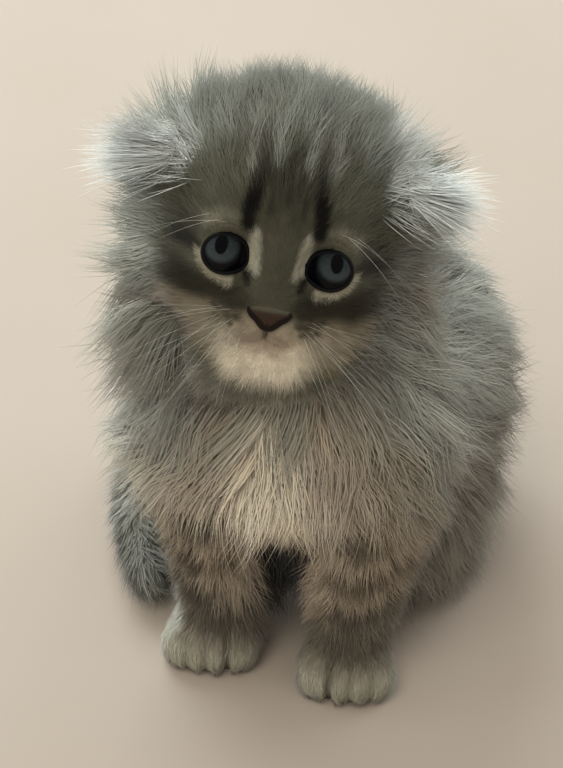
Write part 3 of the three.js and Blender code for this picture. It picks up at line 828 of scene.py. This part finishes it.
def joined(name, vertices, faces, normals, places, colours, slot, look):
    """One piece from arrays of triangles, with a normal, a UV place and a colour at each vertex."""
    data = bpy.data.meshes.new(name)
    data.vertices.add(len(vertices))
    data.vertices.foreach_set("co", (vertices * MM).ravel())
    data.loops.add(faces.size)
    data.loops.foreach_set("vertex_index", faces.astype(np.int32).ravel())
    data.polygons.add(len(faces))
    data.polygons.foreach_set("loop_start", np.arange(0, faces.size, 3, dtype=np.int32))
    data.update(calc_edges=True)
    data.polygons.foreach_set("use_smooth", np.ones(len(faces), bool))
    data.normals_split_custom_set_from_vertices(normals.tolist())
    colour_layer(data, np.broadcast_to(colours, vertices.shape))
    layer = data.uv_layers.new(name="OFBake")
    layer.uv.foreach_set("vector", places[faces.ravel()].ravel())
    data.materials.append(look)
    made = placed(name, data)
    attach(made, "root")


def along_spike(stations):
    """How far along a spike each of its vertices is: three at each station, and one at the tip."""
    return np.append(np.repeat(np.linspace(0, 1, stations - 1, endpoint=False), 3), 1.0)


def spikes(cores, sides, ups, widths, skin_ways, uv_roots):
    """Closed three-sided spikes round lines of points: vertices, triangles, normals and UV places.

    The normals lean towards the skin's, so that the coat is shaded as one soft surface."""
    count, stations = cores.shape[:2]
    rings = stations - 1  # the last point is the tip
    turns = (2 * math.pi * np.arange(3) / 3)[:, None]
    out = np.cos(turns) * sides[:, :rings, None] + np.sin(turns) * ups[:, :rings, None]
    ring = cores[:, :rings, None] + widths[:, :rings, None, None] / 2 * out
    own = np.concatenate([out.reshape(count, rings * 3, 3), np.zeros((count, 1, 3))], 1)
    normals = unit(own * (1 - SOFTNESS) + skin_ways[:, None] * SOFTNESS)
    vertices = np.concatenate([ring.reshape(count, rings * 3, 3), cores[:, -1:]], 1)
    pattern = [(0, 2, 1)]
    for r in range(rings - 1):
        for k in range(3):
            a, b = r * 3 + k, r * 3 + (k + 1) % 3
            pattern += [(a, b, b + 3), (a, b + 3, a + 3)]
    last = (rings - 1) * 3
    for k in range(3):
        pattern.append((last + k, last + (k + 1) % 3, rings * 3))
    faces = np.array(pattern) + (np.arange(count) * (rings * 3 + 1))[:, None, None]
    local = np.stack([along_spike(stations), np.append(np.tile([0, 0.5, 1.0], rings), 0.5)], 1)
    places = uv_roots[:, None] + (local - 0.5) * UV_PATCH
    return vertices.reshape(-1, 3), faces.reshape(-1, 3), normals.reshape(-1, 3), places.reshape(-1, 2)


# How the coat grows. Lengths are in millimetres and turns in radians, unless said.
DENSITY_FALL = 0.8  # how the tufts thin out as the coat deepens
ROOT_DEPTH = 0.3  # how far a tuft starts under the skin
UV_PATCH = 0.003
SOFTNESS = 0.84
DEPTHS = {
    # what grows with the coat's depth: the depths where that starts and is full
    "turn": (1.5, 6), "bend": (5, 14), "shorter": (4, 10), "lift": (1.5, 9), "tip": (3, 12),
    "gather": (1.5, 12), "wave": (6, 15), "hang": (5, 16), "blur": (1.5, 4), "pale": (4, 14),
}
CHEST = ((BACK, -20, -45),)
BELLY = ((ACROSS, 22, 15), (BACK, -54, -46), (BACK, -6, -14), (UP, 54, 44))  # from the body's middle
ABOVE_EAR, ABOVE_EAR_EDGE = (36, 0, 22), (20, 5)
LOCK_SPACING, LOCK_SPREAD, CHEST_SPREAD = 1.1, 0.26, 0.7
LOCK_TURN, LOCK_TONE, LOCK_LIFT, LOCK_BEND, LOCK_REACH = 0.24, 0.1, 0.10, 0.15, 0.7
CHEST_TONE, CHEST_BEND = 0.3, 0.5
STRAYS = 0.04  # share of thin hairs that stand out of the coat
TUFT_TURN, TUFT_LIFT, TUFT_TONE = 0.15, 0.09, 0.07
STRAY_TURN, STRAY_LIFT, STRAY_TIP_LIFT, STRAY_WIDTH = 0.35, 0.25, 0.35, 0.7
TUFT_LENGTH, LENGTH_BY_DEPTH, LENGTH_SPREAD = 0.9, 1.8, (0.72, 1.1)
HEAD_SHORTER, TAIL_LONGER, ABOVE_EAR_LONGER, BELLY_LONGER = 0.14, 0.35, 0.5, 1.6
TUFT_WIDTH = {2: 0.15, 3: 0.19, 5: 0.19}  # where the coat is short, by the points along a tuft
WIDTH_BY_DEPTH, TUFT_TAPER = 0.0115, 0.75
DOWN_WIDTH, DOWN_BY_DEPTH, DOWN_LENGTH = 0.3, 0.052, 0.7
ROOT_LIFT, DEEP_LIFT, EAR_LIFT = 25, 24, 8  # degrees
TIP_LIFT, DEEP_TIP_LIFT, EAR_TIP_LIFT, TAIL_TIP_LIFT = 3, 14, 6, 0.3  # degrees, and radians for the tail
GATHER, DEEP_GATHER, CHEST_GATHER, HEAD_LOOSE = 0.12, 0.45, 0.1, 0.5
HANG, CHEST_HANG, BELLY_HANG = 0.38, 0.5, 0.9
WAVE, LONG_WAVE = 0.09, 38.0
ON_FLOOR = 0.35
SHOWN_UP, SHOWN_ALONG, SHOWN_BLUR = 0.75, 0.35, (0.45, 0.8)  # the place whose marking a tuft shows
SHORT_BLUR = 0.65
# Painted light and shade: a lock is paler in its middle and darker at its edge, so that it looks round.
LOCK_PAINTED_LIGHT, LOCK_PAINTED_SHADE = 0.1, 0.2  # how a lock's tone falls from its middle to its edge
# A tuft is darker at its root, painted shade of the deep coat, and paler towards its tip, as silver ticking
# is.
ROOT_SHADE, TIP_TONE, PALE_TIP, PALE_BASE = 0.9, 0.15, 0.25, (0.002, 0.03)
coat_look, tree, shader = material(
    "coat", 0.72, Specular_IOR_Level=0.15, Sheen_Weight=0.2, Sheen_Roughness=0.4)
feed(shader, "Base Color", attribute(tree, "coat_colour"))


def scattered(faces, count):
    """Roots spread over part of the skin, closer where the coat is short.

    Gives the density, and for each root its place, normal, shares, depth and place on the UV map."""
    a, b, c = points[faces].transpose(1, 0, 2)
    area = np.linalg.norm(np.cross(b - a, c - a), axis=1) / 2
    total = np.cumsum(area / (1 + DENSITY_FALL * skin_depth[faces].mean(1)))
    chosen = np.searchsorted(total, (np.arange(count) + random.random(count)) * total[-1] / count)
    chosen = np.minimum(chosen, len(faces) - 1)
    u, v = random.random(count), random.random(count)
    over = u + v > 1
    u[over], v[over] = 1 - u[over], 1 - v[over]
    weights = np.stack([1 - u - v, u, v], 1)[:, :, None]
    flat = (unwrapped(faces)[chosen] * weights).sum(1)
    at = faces[chosen]
    roots = (points[at] * weights).sum(1)
    keep = ~bare(to_head(roots))
    at, weights = at[keep], weights[keep]
    normals, share = unit((skin_normals[at] * weights).sum(1)), (skin_share[at] * weights).sum(1)
    depth = (skin_depth[at] * weights[:, :, 0]).sum(1)
    return count / total[-1], roots[keep], normals, share, depth, flat[keep]


def grow(name, faces, wanted, down, stations, slot):
    """A piece of the coat over part of the skin: so many tufts of guard hair, and so many of down."""
    density, roots, normals, share, depth, flat = scattered(faces, wanted + down)
    count = len(roots)
    deep = {effect: ramp(*ends, depth) for effect, ends in DEPTHS.items()}
    ways = lie_of_coat(roots, normals, share)
    sideways = np.cross(normals, ways)
    h = to_head(roots)
    on_trunk = share[:, NECK] + share[:, TRUNK]
    bib = on_trunk * region(roots, CHEST)
    belly = on_trunk * region(folded(roots, BODY_MIDDLE_X), BELLY)
    above_ear = ramp(*ABOVE_EAR_EDGE, np.linalg.norm(folded(h) - ABOVE_EAR, axis=1)) * (h[:, 2] > 0)

    # Locks: each tuft belongs to the nearest of a few tufts, and shares its chance turns.
    spacing = (LOCK_SPACING + LOCK_SPREAD * depth) * (1 + CHEST_SPREAD * bib)
    is_seed = random.random(count) < 1 / (spacing ** 2 * density / (1 + DENSITY_FALL * depth))
    seeds = np.flatnonzero(is_seed)
    lock_tree = search_tree(roots[seeds])
    lock = np.array([lock_tree.find(p)[1] for p in roots])
    lock_root = roots[seeds][lock]
    lock_turn = random.normal(0, LOCK_TURN, len(seeds))[lock] * deep["turn"]
    lock_phase = random.uniform(0, 2 * math.pi, len(seeds))[lock]
    lock_tone = random.normal(0, LOCK_TONE, len(seeds))[lock] * (1 + CHEST_TONE * bib)
    lock_lift = random.normal(0, LOCK_LIFT, len(seeds))[lock] * deep["turn"]
    lock_bend = random.normal(0, LOCK_BEND, len(seeds))[lock] * deep["bend"] * (1 + CHEST_BEND * bib)
    off_middle = np.clip(np.linalg.norm(roots - lock_root, axis=1) / (LOCK_REACH * spacing), 0, 1)

    # Each tuft's turn, length, lift at its root and tip, and width.
    is_down = random.random(count) < down / (wanted + down)
    stray = (random.random(count) < STRAYS) & ~is_down
    turned = lock_turn + random.normal(0, TUFT_TURN, count) + stray * random.normal(0, STRAY_TURN, count)
    ways = unit(ways + sideways * turned[:, None])
    length = (TUFT_LENGTH + LENGTH_BY_DEPTH * depth) * random.uniform(*LENGTH_SPREAD, count)
    length *= 1 - HEAD_SHORTER * share[:, HEAD] * deep["shorter"] + TAIL_LONGER * share[:, TAIL]
    length *= 1 + ABOVE_EAR_LONGER * above_ear * share[:, HEAD]
    length *= np.where(is_down, DOWN_LENGTH, 1) * (1 + BELLY_LONGER * belly)
    lift = np.radians(ROOT_LIFT + DEEP_LIFT * deep["lift"] + EAR_LIFT * above_ear)
    lift += lock_lift + random.normal(0, TUFT_LIFT, count) + stray * STRAY_LIFT
    tip_lift = np.radians(TIP_LIFT + DEEP_TIP_LIFT * deep["tip"] + EAR_TIP_LIFT * above_ear)
    tip_lift += stray * STRAY_TIP_LIFT + TAIL_TIP_LIFT * share[:, TAIL]
    width = (TUFT_WIDTH[stations] + WIDTH_BY_DEPTH * depth) * np.where(stray, STRAY_WIDTH, 1.0)
    width = np.where(is_down, DOWN_WIDTH + DOWN_BY_DEPTH * depth, width)
    gather = (DEEP_GATHER + CHEST_GATHER * bib) * deep["gather"] * (1 - HEAD_LOOSE * share[:, HEAD])
    gather += GATHER
    wave = WAVE * length * deep["wave"]
    hang = (HANG + CHEST_HANG * bib) * deep["hang"] + BELLY_HANG * belly

    # The line of each tuft: it bends over, hangs, leans in to its lock and waves from side to side.
    s = np.linspace(0, 1, stations)[None, :] ** 1.1
    angle = (lift[:, None] * (1 - s) ** 1.1 + tip_lift[:, None] * s)[:, :, None]
    heading = np.cos(angle) * ways[:, None] + np.sin(angle) * normals[:, None]
    heading[:, :, 2] -= hang[:, None] * s ** 1.3
    heading = unit(heading)
    steps = (heading[:, :-1] + heading[:, 1:]) / 2 * (length[:, None] * np.diff(s))[:, :, None]
    cores = np.concatenate([np.zeros((count, 1, 3)), np.cumsum(steps, 1)], 1)
    cores += (roots - normals * ROOT_DEPTH)[:, None]
    cores += (lock_root - roots)[:, None] * (gather[:, None] * s ** 1.4)[:, :, None]
    phase = 2 * math.pi * s * length[:, None] / LONG_WAVE + lock_phase[:, None]
    swing = wave[:, None] * (np.sin(phase) - np.sin(lock_phase)[:, None]) * s
    swing += (lock_bend * length)[:, None] * s ** 2
    cores += sideways[:, None] * swing[:, :, None]
    cores[:, :, 2] = np.maximum(cores[:, :, 2], ON_FLOOR + 0.3 * width[:, None])
    taper = width[:, None] * (1 - TUFT_TAPER * s ** 1.6)
    flat_side = np.repeat(sideways[:, None], stations, 1)
    rise = np.cross(heading, flat_side)

    # Its colour: the marking that the eye sees there, a little blurred, paler along the tuft.
    shown = roots + normals * (SHOWN_UP * depth)[:, None] + ways * (SHOWN_ALONG * length)[:, None]
    blur = (SHORT_BLUR + (1 - SHORT_BLUR) * deep["blur"])[:, None]
    for way, spread in zip((sideways, ways), SHOWN_BLUR):
        shown += blur * way * random.normal(0, spread, count)[:, None]
    tone = lock_tone + random.normal(0, TUFT_TONE, count)
    # painted light in the middle of each lock and painted shade at its edges
    tone += (LOCK_PAINTED_LIGHT - LOCK_PAINTED_SHADE * off_middle ** 2) * deep["bend"]
    base = markings(shown, share) * np.exp(tone)[:, None]
    pale = PALE_TIP * deep["pale"] * ramp(*PALE_BASE, base.mean(1))
    layers, start = [], 0
    for chosen, kept in ((~is_down, list(range(stations))), (is_down, [0, stations - 1])):
        vertices, made, lit, places = spikes(
            cores[chosen][:, kept], flat_side[chosen][:, kept], rise[chosen][:, kept],
            taper[chosen][:, kept], normals[chosen], flat[chosen])
        along = along_spike(len(kept))[:, None]
        # painted shade: each tuft is darker at its root, deep in the coat
        colours = np.clip(base[chosen][:, None] * (ROOT_SHADE + TIP_TONE * along), 0, 1)
        colours += (SILVER - colours) * (pale[chosen][:, None, None] * along ** 2)
        layers.append((vertices, made + start, lit, places, colours.reshape(-1, 3)))
        start += len(vertices)
    layers = [np.concatenate(parts) for parts in zip(*layers)]
    print(name, count, "tufts", len(layers[1]), "triangles")
    joined(name, *layers, slot, coat_look)


FACE_WIDE, FACE_REACH, CROWN_FROM, CHEST_FROM = (1.25, 1, 1), 24, 4, -22
centre = points[triangles].mean(1)
centre_h = to_head(centre)
of = skin_share[triangles].mean(1).argmax(1)
on_head = of == HEAD
is_face = on_head & (np.linalg.norm((centre_h - FACE_MIDDLE) / FACE_WIDE, axis=1) < FACE_REACH)
is_crown = on_head & ~is_face & (centre_h[:, 2] > CROWN_FROM)
on_trunk = (of == NECK) | (of == TRUNK)
is_chest = on_trunk & (centre[:, 1] < CHEST_FROM)
is_left = on_trunk & ~is_chest & (centre[:, 0] > BODY_MIDDLE_X)
COAT_PIECES = {
    # name: (where, tufts, tufts of down, points along a tuft, finish)
    "coat_face": (is_face, 44000, 0, 2, "silver_coat"),
    "coat_crown": (is_crown, 15600, 9000, 3, "silver_coat"),
    "coat_cheeks": (on_head & ~is_face & ~is_crown, 15000, 11000, 3, "silver_coat"),
    "coat_ears": (of == EAR, 2400, 800, 3, "silver_coat"),
    "coat_chest": (is_chest, 6600, 12000, 5, "pale_coat"),
    "coat_left_flank": (is_left, 15300, 10500, 3, "silver_coat"),
    "coat_right_flank": (on_trunk & ~is_chest & ~is_left, 13000, 10000, 3, "silver_coat"),
    "coat_thighs": (of == THIGH, 6500, 5000, 3, "silver_coat"),
    "coat_front_legs": (of == LEG, 10000, 6000, 3, "silver_coat"),
    "coat_paws": (of == PAW, 6500, 2000, 3, "pale_coat"),
    "coat_tail": (of == TAIL, 7000, 3500, 3, "dark_coat"),
}
for name, (where, wanted, down, stations, slot) in COAT_PIECES.items():
    grow(name, triangles[where], wanted, down, stations, slot)

# Eyes: wet balls with a slate-blue iris, which a kitten has until it is about seven weeks old. The
# clear front bulges a little, and the pupil is an upright oval set high, as it looks up.
GAZE = (0.13, -0.91, 0.385)  # of the left eye, in the head's frame
PUPIL = (0.215, 0.335)  # half-width and half-height, as shares of the eyeball's radius
IRIS_EDGE, IRIS_SOFT = 0.61, (0.09, 0.12)
CORNEA_BULGE, CORNEA_ANGLE = 0.45, 42  # millimetres, degrees
SLATE_BLUE, PALE_BLUE, NAVY = linear(27, 33, 35), linear(58, 67, 69), linear(3, 4, 9)
PUPIL_BLACK = (0.0006, 0.0006, 0.001, 1)
eye_look, tree, shader = material(
    "wet_eye", 0.3, Specular_IOR_Level=0.04, Coat_Weight=0.12, Coat_Roughness=0.04)
local = attribute(tree, "eye_place", "Vector")
split = Socket.node(tree, "ShaderNodeSeparateXYZ", inputs={0: local}).output.node.outputs
across, above = Socket(tree, split["X"]), Socket(tree, split["Y"])


def pair(x, y):
    return Socket.node(x.tree, "ShaderNodeCombineXYZ", inputs={"X": x, "Y": y})


def size_of(x, y):
    return Socket.node(x.tree, "ShaderNodeVectorMath", {"operation": "LENGTH"}, {0: pair(x, y)}, "Value")


def smooth(value, low, high, how="SMOOTHSTEP"):
    """0 at the low value and 1 at the high one."""
    return Socket.node(
        value.tree, "ShaderNodeMapRange", {"interpolation_type": how}, {0: value, 1: low, 2: high})


out = size_of(across, above)
rays = Socket.node(tree, "ShaderNodeTexNoise", {"noise_dimensions": "2D"}, {
    "Vector": pair(above.sum("ARCTAN2", across) * 9.0, out * 3.0),
    "Scale": 1.6, "Detail": 4.0, "Roughness": 0.65})
# Painted shade and light: the iris is darker at its top, under the lid, and paler at its bottom.
fibres_and_shade = blend(tree, smooth(rays + above * -0.7, 0.25, 0.85, "LINEAR"), SLATE_BLUE, PALE_BLUE)
iris_end = smooth(out + rays * 0.06, IRIS_EDGE - IRIS_SOFT[0], IRIS_EDGE + IRIS_SOFT[1])
in_pupil = smooth(size_of(across / PUPIL[0], above / PUPIL[1]), 1.12, 0.9)
feed(shader, "Base Color", blend(tree, in_pupil, blend(tree, iris_end, fibres_and_shade, NAVY), PUPIL_BLACK))


def stand_for(name, shape, node, look):
    """A finished piece, given in millimetres in its place, and the node that it stands for, if any."""
    data = as_mesh(name, shape)
    data.transform(Matrix.Scale(MM, 4))
    data.polygons.foreach_set("use_smooth", np.ones(len(data.polygons), bool))
    data.materials.append(look)
    made = placed(name, data)
    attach(made, "root")
    if node:
        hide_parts(node)
    return made


for side, sign in SIDES.items():
    gaze = (head_turn @ Vector((GAZE[0] * sign, *GAZE[1:]))).normalized()
    right = (head_turn @ Vector((0, 0, 1))).cross(gaze).normalized()
    axes = Matrix((right, gaze.cross(right), gaze)).transposed()
    ball = bmesh.new()
    bmesh.ops.create_uvsphere(ball, u_segments=64, v_segments=48, radius=EYE_RADIUS)
    places = [v.co / EYE_RADIUS for v in ball.verts]
    for v in ball.verts:
        lean = math.degrees(v.co.angle(Vector((0, 0, 1))))
        if lean < CORNEA_ANGLE:
            v.co *= 1 + CORNEA_BULGE / EYE_RADIUS * math.cos(math.radians(90 * lean / CORNEA_ANGLE)) ** 2
        v.co = axes @ v.co + eye_centres[side]
    eyeball = stand_for(f"eyeball_{side}", ball, f"eye_{side}", eye_look)
    layer = eyeball.data.attributes.new("eye_place", "FLOAT_VECTOR", "POINT")
    layer.data.foreach_set("vector", np.array(places).ravel())

# Lids: a thin dark rim of bare wet skin round each eye, which hugs the eyeball. Its section is drawn
# once and carried round the opening.
LID_SECTION = ((-0.3, -0.5), (-0.2, 0.15), (0.05, 0.4), (0.4, 0.45), (0.9, 0.3), (1.5, -0.9))
LID_SEGMENTS = 64
LID_LEAN = 1.6  # how much flatter the rim lies than the eyeball
lid_look, tree, shader = material("lid", 0.5, Specular_IOR_Level=0.15)
pores = texture(tree, "ShaderNodeTexNoise", 2500.0, Detail=2.0)
bump(tree, shader, 0.3, 0.0002, pores)
feed(shader, "Base Color", blend(tree, pores, linear(6, 6, 8), linear(13, 12, 13)))


def on_lid(place, outward, proud, inmost, side, sign):
    """Where a place on the unit circle comes to lie on the rim of an eye."""
    place = place * corner_reach(math.atan2(place.y, place.x))
    across = sign * (place.x * EYE_OPENING[0] + EYE_SHIFT[0])
    up = place.y * EYE_OPENING[1] + EYE_SHIFT[1]
    flattest = LID_PLANE if sign * across < 0 and not inmost else 1.0
    ahead = math.sqrt(max(EYE_RADIUS ** 2 - across ** 2 - up ** 2, flattest ** 2))
    normal = Vector((across, -LID_LEAN * ahead, up)).normalized()
    away = Vector((across, 0, up))
    away = (away - normal * away.dot(normal)).normalized()
    spot = Vector((across, -ahead, up)) + away * outward + normal * proud
    return head_turn @ (spot + Vector(eye_in_head[side])) + head_middle


def turn_of(vertex):
    return math.atan2(vertex.co.y, vertex.co.x)


for side, sign in SIDES.items():
    rim = bmesh.new()
    bmesh.ops.create_circle(rim, segments=LID_SEGMENTS, radius=1)
    rings = [sorted(rim.verts, key=turn_of)]
    for _ in LID_SECTION[1:]:
        ring_edges = [e for e in rim.edges if e.verts[0] in rings[-1] and e.verts[1] in rings[-1]]
        made = bmesh.ops.extrude_edge_only(rim, edges=ring_edges)["geom"]
        rings.append(sorted((g for g in made if isinstance(g, bmesh.types.BMVert)), key=turn_of))
    for (outward, proud), ring in zip(LID_SECTION, rings):
        for v in ring:
            v.co = on_lid(v.co, outward, proud, ring is rings[0], side, sign)
    bmesh.ops.bridge_loops(rim, edges=[e for e in rim.edges if len(e.link_faces) == 1])
    bmesh.ops.recalc_face_normals(rim, faces=rim.faces)
    stand_for(f"lid_{side}", rim, None, lid_look)

# Nose leather: bare, pebbled skin over the nostrils, darker in their slits and along its edges. It is
# the solid's shape, made wider, lower and flatter, and sunk under the hair along its top.
NOSE_GRID = 0.28
LEATHER, LEATHER_DARK = shade(52, 38, 28), shade(14, 3, 3)
NOSE_WIDER, NOSE_DOWN, NOSE_FLAT, NOSE_FRONT = 1.18, 1.6, 0.35, -21.7
NOSE_SINKS, NOSE_SUNK, NOSE_HAIRY, NOSE_HAIR = (-16.7, -14.9), 3.2, (-16.4, -15.6), 0.9
CREASED = -24  # how far forward the creases go
NOSE_LINES = (
    # strength, half-width, soft edge, depth of the crease, places across and up, on both sides
    (0.97, 0.5, 0.6, 0.2, ((3.6, -18.2), (5.0, -17.4), (6.3, -16.7))),
    (0.98, 0.55, 0.6, 0.1, ((6.1, -16.4), (3.5, -18.2), (1.6, -19.9), (0, -21.4))),
    (0.8, 0.1, 0.5, 0.35, ((0, -19.5), (0, -22.5))),
)
nose_data = grid_skin(solid("nose"), NOSE_GRID)
nose_edges = read(nose_data, "edges", "vertices", 2, np.int32)
nose_points = averaged(read(nose_data, "vertices", "co"), nose_edges, rounds=10, keep=0.4)
h = to_head(nose_points) * (NOSE_WIDER, 1, 1) - (0, 0, NOSE_DOWN)
h[:, 1] = np.maximum(h[:, 1], NOSE_FLAT * h[:, 1] + NOSE_FRONT)
h[:, 1] += NOSE_SUNK * ramp(*NOSE_SINKS, h[:, 2])
nose_colours = np.tile(LEATHER, (len(h), 1))
nose_colours = paint(nose_colours, BROWN, NOSE_HAIR * ramp(*NOSE_HAIRY, h[:, 2]))
for strength, half, soft, deep, line in NOSE_LINES:
    near = ramp(half + soft, half, line_gap(folded(h)[:, ::2], line)) * (h[:, 1] < CREASED)
    h[:, 1] += deep * near
    nose_colours = paint(nose_colours, LEATHER_DARK, strength * near)
move(nose_data, from_head(h))
nose_shape = bmesh.new()
nose_shape.from_mesh(nose_data)
leather_look, tree, shader = material("leather", 0.5, Specular_IOR_Level=0.2)
feed(shader, "Base Color", attribute(tree, "coat_colour"))
bump(tree, shader, 0.35, 0.0002, texture(tree, "ShaderNodeTexVoronoi", 2200.0))
nose = stand_for("nose_leather", nose_shape, "nose", leather_look)
colour_layer(nose.data, nose_colours)

# Whiskers: stiff white hairs, thick at the root, that fan out of the pads and the brows. The ones on
# a pad stand in rows.
WHISKERS = (
    # how many, roots across and up (first and last), ways across, forward and up, length, droop
    (4, (9.5, -19.0), (15.5, -20.0), (0.92, -0.30, -0.10), (0.90, -0.10, -0.25), 30, 0.5),
    (4, (8.5, -20.8), (15.0, -22.0), (0.80, -0.35, -0.42), (0.80, -0.15, -0.50), 36, 0.45),
    (4, (8.0, -22.6), (14.0, -24.0), (0.55, -0.40, -0.65), (0.62, -0.20, -0.72), 32, 0.35),
    (2, (6.5, -25.5), (9.0, -27.5), (0.15, -0.35, -0.90), (0.30, -0.25, -0.90), 20, 0.2),
    (3, (14.0, 6.5), (21.0, 5.5), (0.75, -0.45, -0.10), (0.90, -0.30, -0.25), 22, 0.8),
)
WHISKER_STATIONS, WHISKER_WIDTH, WHISKER_TAPER = 14, 0.11, 0.8
WHISKER_BEND = np.array([0, 0.25, -0.35])
SPOT_SPREAD, WAY_SPREAD, WHISKER_SPREAD = 0.5, 0.11, (0.75, 1.1)
BEFORE_FACE = -70
HAIR_UP = np.array([0.0, 0.3, 1.0])
skin_tree = surface(points, triangles.tolist())
head_faces = triangles[on_head | (of == EAR)]
head_tree = surface(points, head_faces.tolist())
head_map = unwrapped(head_faces).mean(1)


def hair_line(root, way, long, bend, stations):
    """A hair in the head's frame: straight at its root, then bent ever more."""
    along = np.linspace(0, 1, stations)[:, None]
    return to_head(root) + way / np.linalg.norm(way) * long * along + bend * long * along ** 2


def long_hairs(name, cores, width, colours, slot, look):
    """A piece of single hairs on the head, with their width at each station."""
    ways = unit(np.gradient(cores, axis=1))
    sides = unit(np.cross(ways, HAIR_UP))
    places = head_map[[head_tree.find_nearest(Vector(root))[2] for root in cores[:, 0]]]
    made = spikes(
        cores, sides, np.cross(ways, sides), np.tile(width, (len(cores), 1)),
        np.cross(sides[:, 0], ways[:, 0]), places)
    joined(name, *made, colours, slot, look)


whisker_look, tree, shader = material("whisker", 0.35)
banded = texture(tree, "ShaderNodeTexNoise", 300.0)
feed(shader, "Base Color", blend(tree, banded, linear(176, 172, 158), linear(206, 203, 192)))
cores = []
for count, first, last, way_first, way_last, length, droop in WHISKERS:
    first, last, way_first, way_last = map(np.array, (first, last, way_first, way_last))
    for sign in SIDES.values():
        for k in range(count):
            near_last = (k + 0.5) / count
            spot = first * (1 - near_last) + last * near_last + random.normal(0, SPOT_SPREAD, 2)
            way = way_first * (1 - near_last) + way_last * near_last + random.normal(0, WAY_SPREAD, 3)
            start = Vector(from_head((spot[0] * sign, BEFORE_FACE, spot[1])))
            root = skin_tree.ray_cast(start, head_turn @ Vector((0, 1, 0)))[0]
            long = length * random.uniform(*WHISKER_SPREAD)
            line = hair_line(root, way * (sign, 1, 1), long, WHISKER_BEND * droop, WHISKER_STATIONS)
            cores.append(from_head(line))
width = WHISKER_WIDTH * (1 - WHISKER_TAPER * np.linspace(0, 1, WHISKER_STATIONS))
long_hairs("whiskers", np.array(cores), width, 1.0, "pale_coat", whisker_look)

# Ear fringe: long silver hairs that grow from the front edge of each ear and sweep out over the
# cheek. They have the head's colour at their roots.
# Towards their tips they are painted near white: silver with painted light.
FRINGE_HAIRS, FRINGE_STATIONS, FRINGE_WIDTH, FRINGE_TAPER = 640, 7, 0.2, 0.75
FRINGE_ROOT, FRINGE_ROOT_SPREAD, FRINGE_HEIGHT = (33, -12, 18), (4, 3), 5
FRINGE_LENGTH, FRINGE_SPREAD, FRINGE_TONES = 21, (0.6, 1.15), (0.8, 1.05)
FRINGE_BACK, FRINGE_DOWN, FRINGE_FAN, FRINGE_WAY_SPREAD = 0.1, -0.05, 0.3, (0.2, 0.14)
FRINGE_BEND, FRINGE_BULGE, SILVER_FROM = np.array([0, 0.14, -0.12]), 2.8, 0.6
cores, tones = [], []
for sign in SIDES.values():
    for _ in range(FRINGE_HAIRS):
        height = random.uniform(-1, 1)
        across = sign * (FRINGE_ROOT[0] + random.normal(0, FRINGE_ROOT_SPREAD[0]))
        ahead = FRINGE_ROOT[1] + random.normal(0, FRINGE_ROOT_SPREAD[1])
        spot = from_head((across, ahead, FRINGE_ROOT[2] + FRINGE_HEIGHT * height))
        root = skin_tree.find_nearest(Vector(spot))[0]
        back = FRINGE_BACK + random.normal(0, FRINGE_WAY_SPREAD[0])
        up = FRINGE_DOWN + FRINGE_FAN * height + random.normal(0, FRINGE_WAY_SPREAD[1])
        long = FRINGE_LENGTH * random.uniform(*FRINGE_SPREAD)
        line = hair_line(root, np.array([sign, back, up]), long, FRINGE_BEND, FRINGE_STATIONS)
        line[:, 1] -= FRINGE_BULGE * np.sin(np.pi * np.linspace(0, 1, FRINGE_STATIONS) ** 0.8)
        cores.append(from_head(line))
        tones.append(random.uniform(*FRINGE_TONES))
cores = np.array(cores)
as_head = np.tile(np.eye(len(GROUPS))[HEAD], (len(cores), 1))
base = markings(cores[:, 0], as_head)[:, None]
# silver with painted light towards the tips of the fringe
silver = np.array(tones)[:, None, None] * EAR_SILVER_AND_LIGHT
colours = base + (silver - base) * ramp(0.0, SILVER_FROM, along_spike(FRINGE_STATIONS))[:, None]
width = FRINGE_WIDTH * (1 - FRINGE_TAPER * np.linspace(0, 1, FRINGE_STATIONS) ** 1.5)
long_hairs("ear_fringe", cores, width, np.clip(colours, 0, 1).reshape(-1, 3), "silver_coat", coat_look)
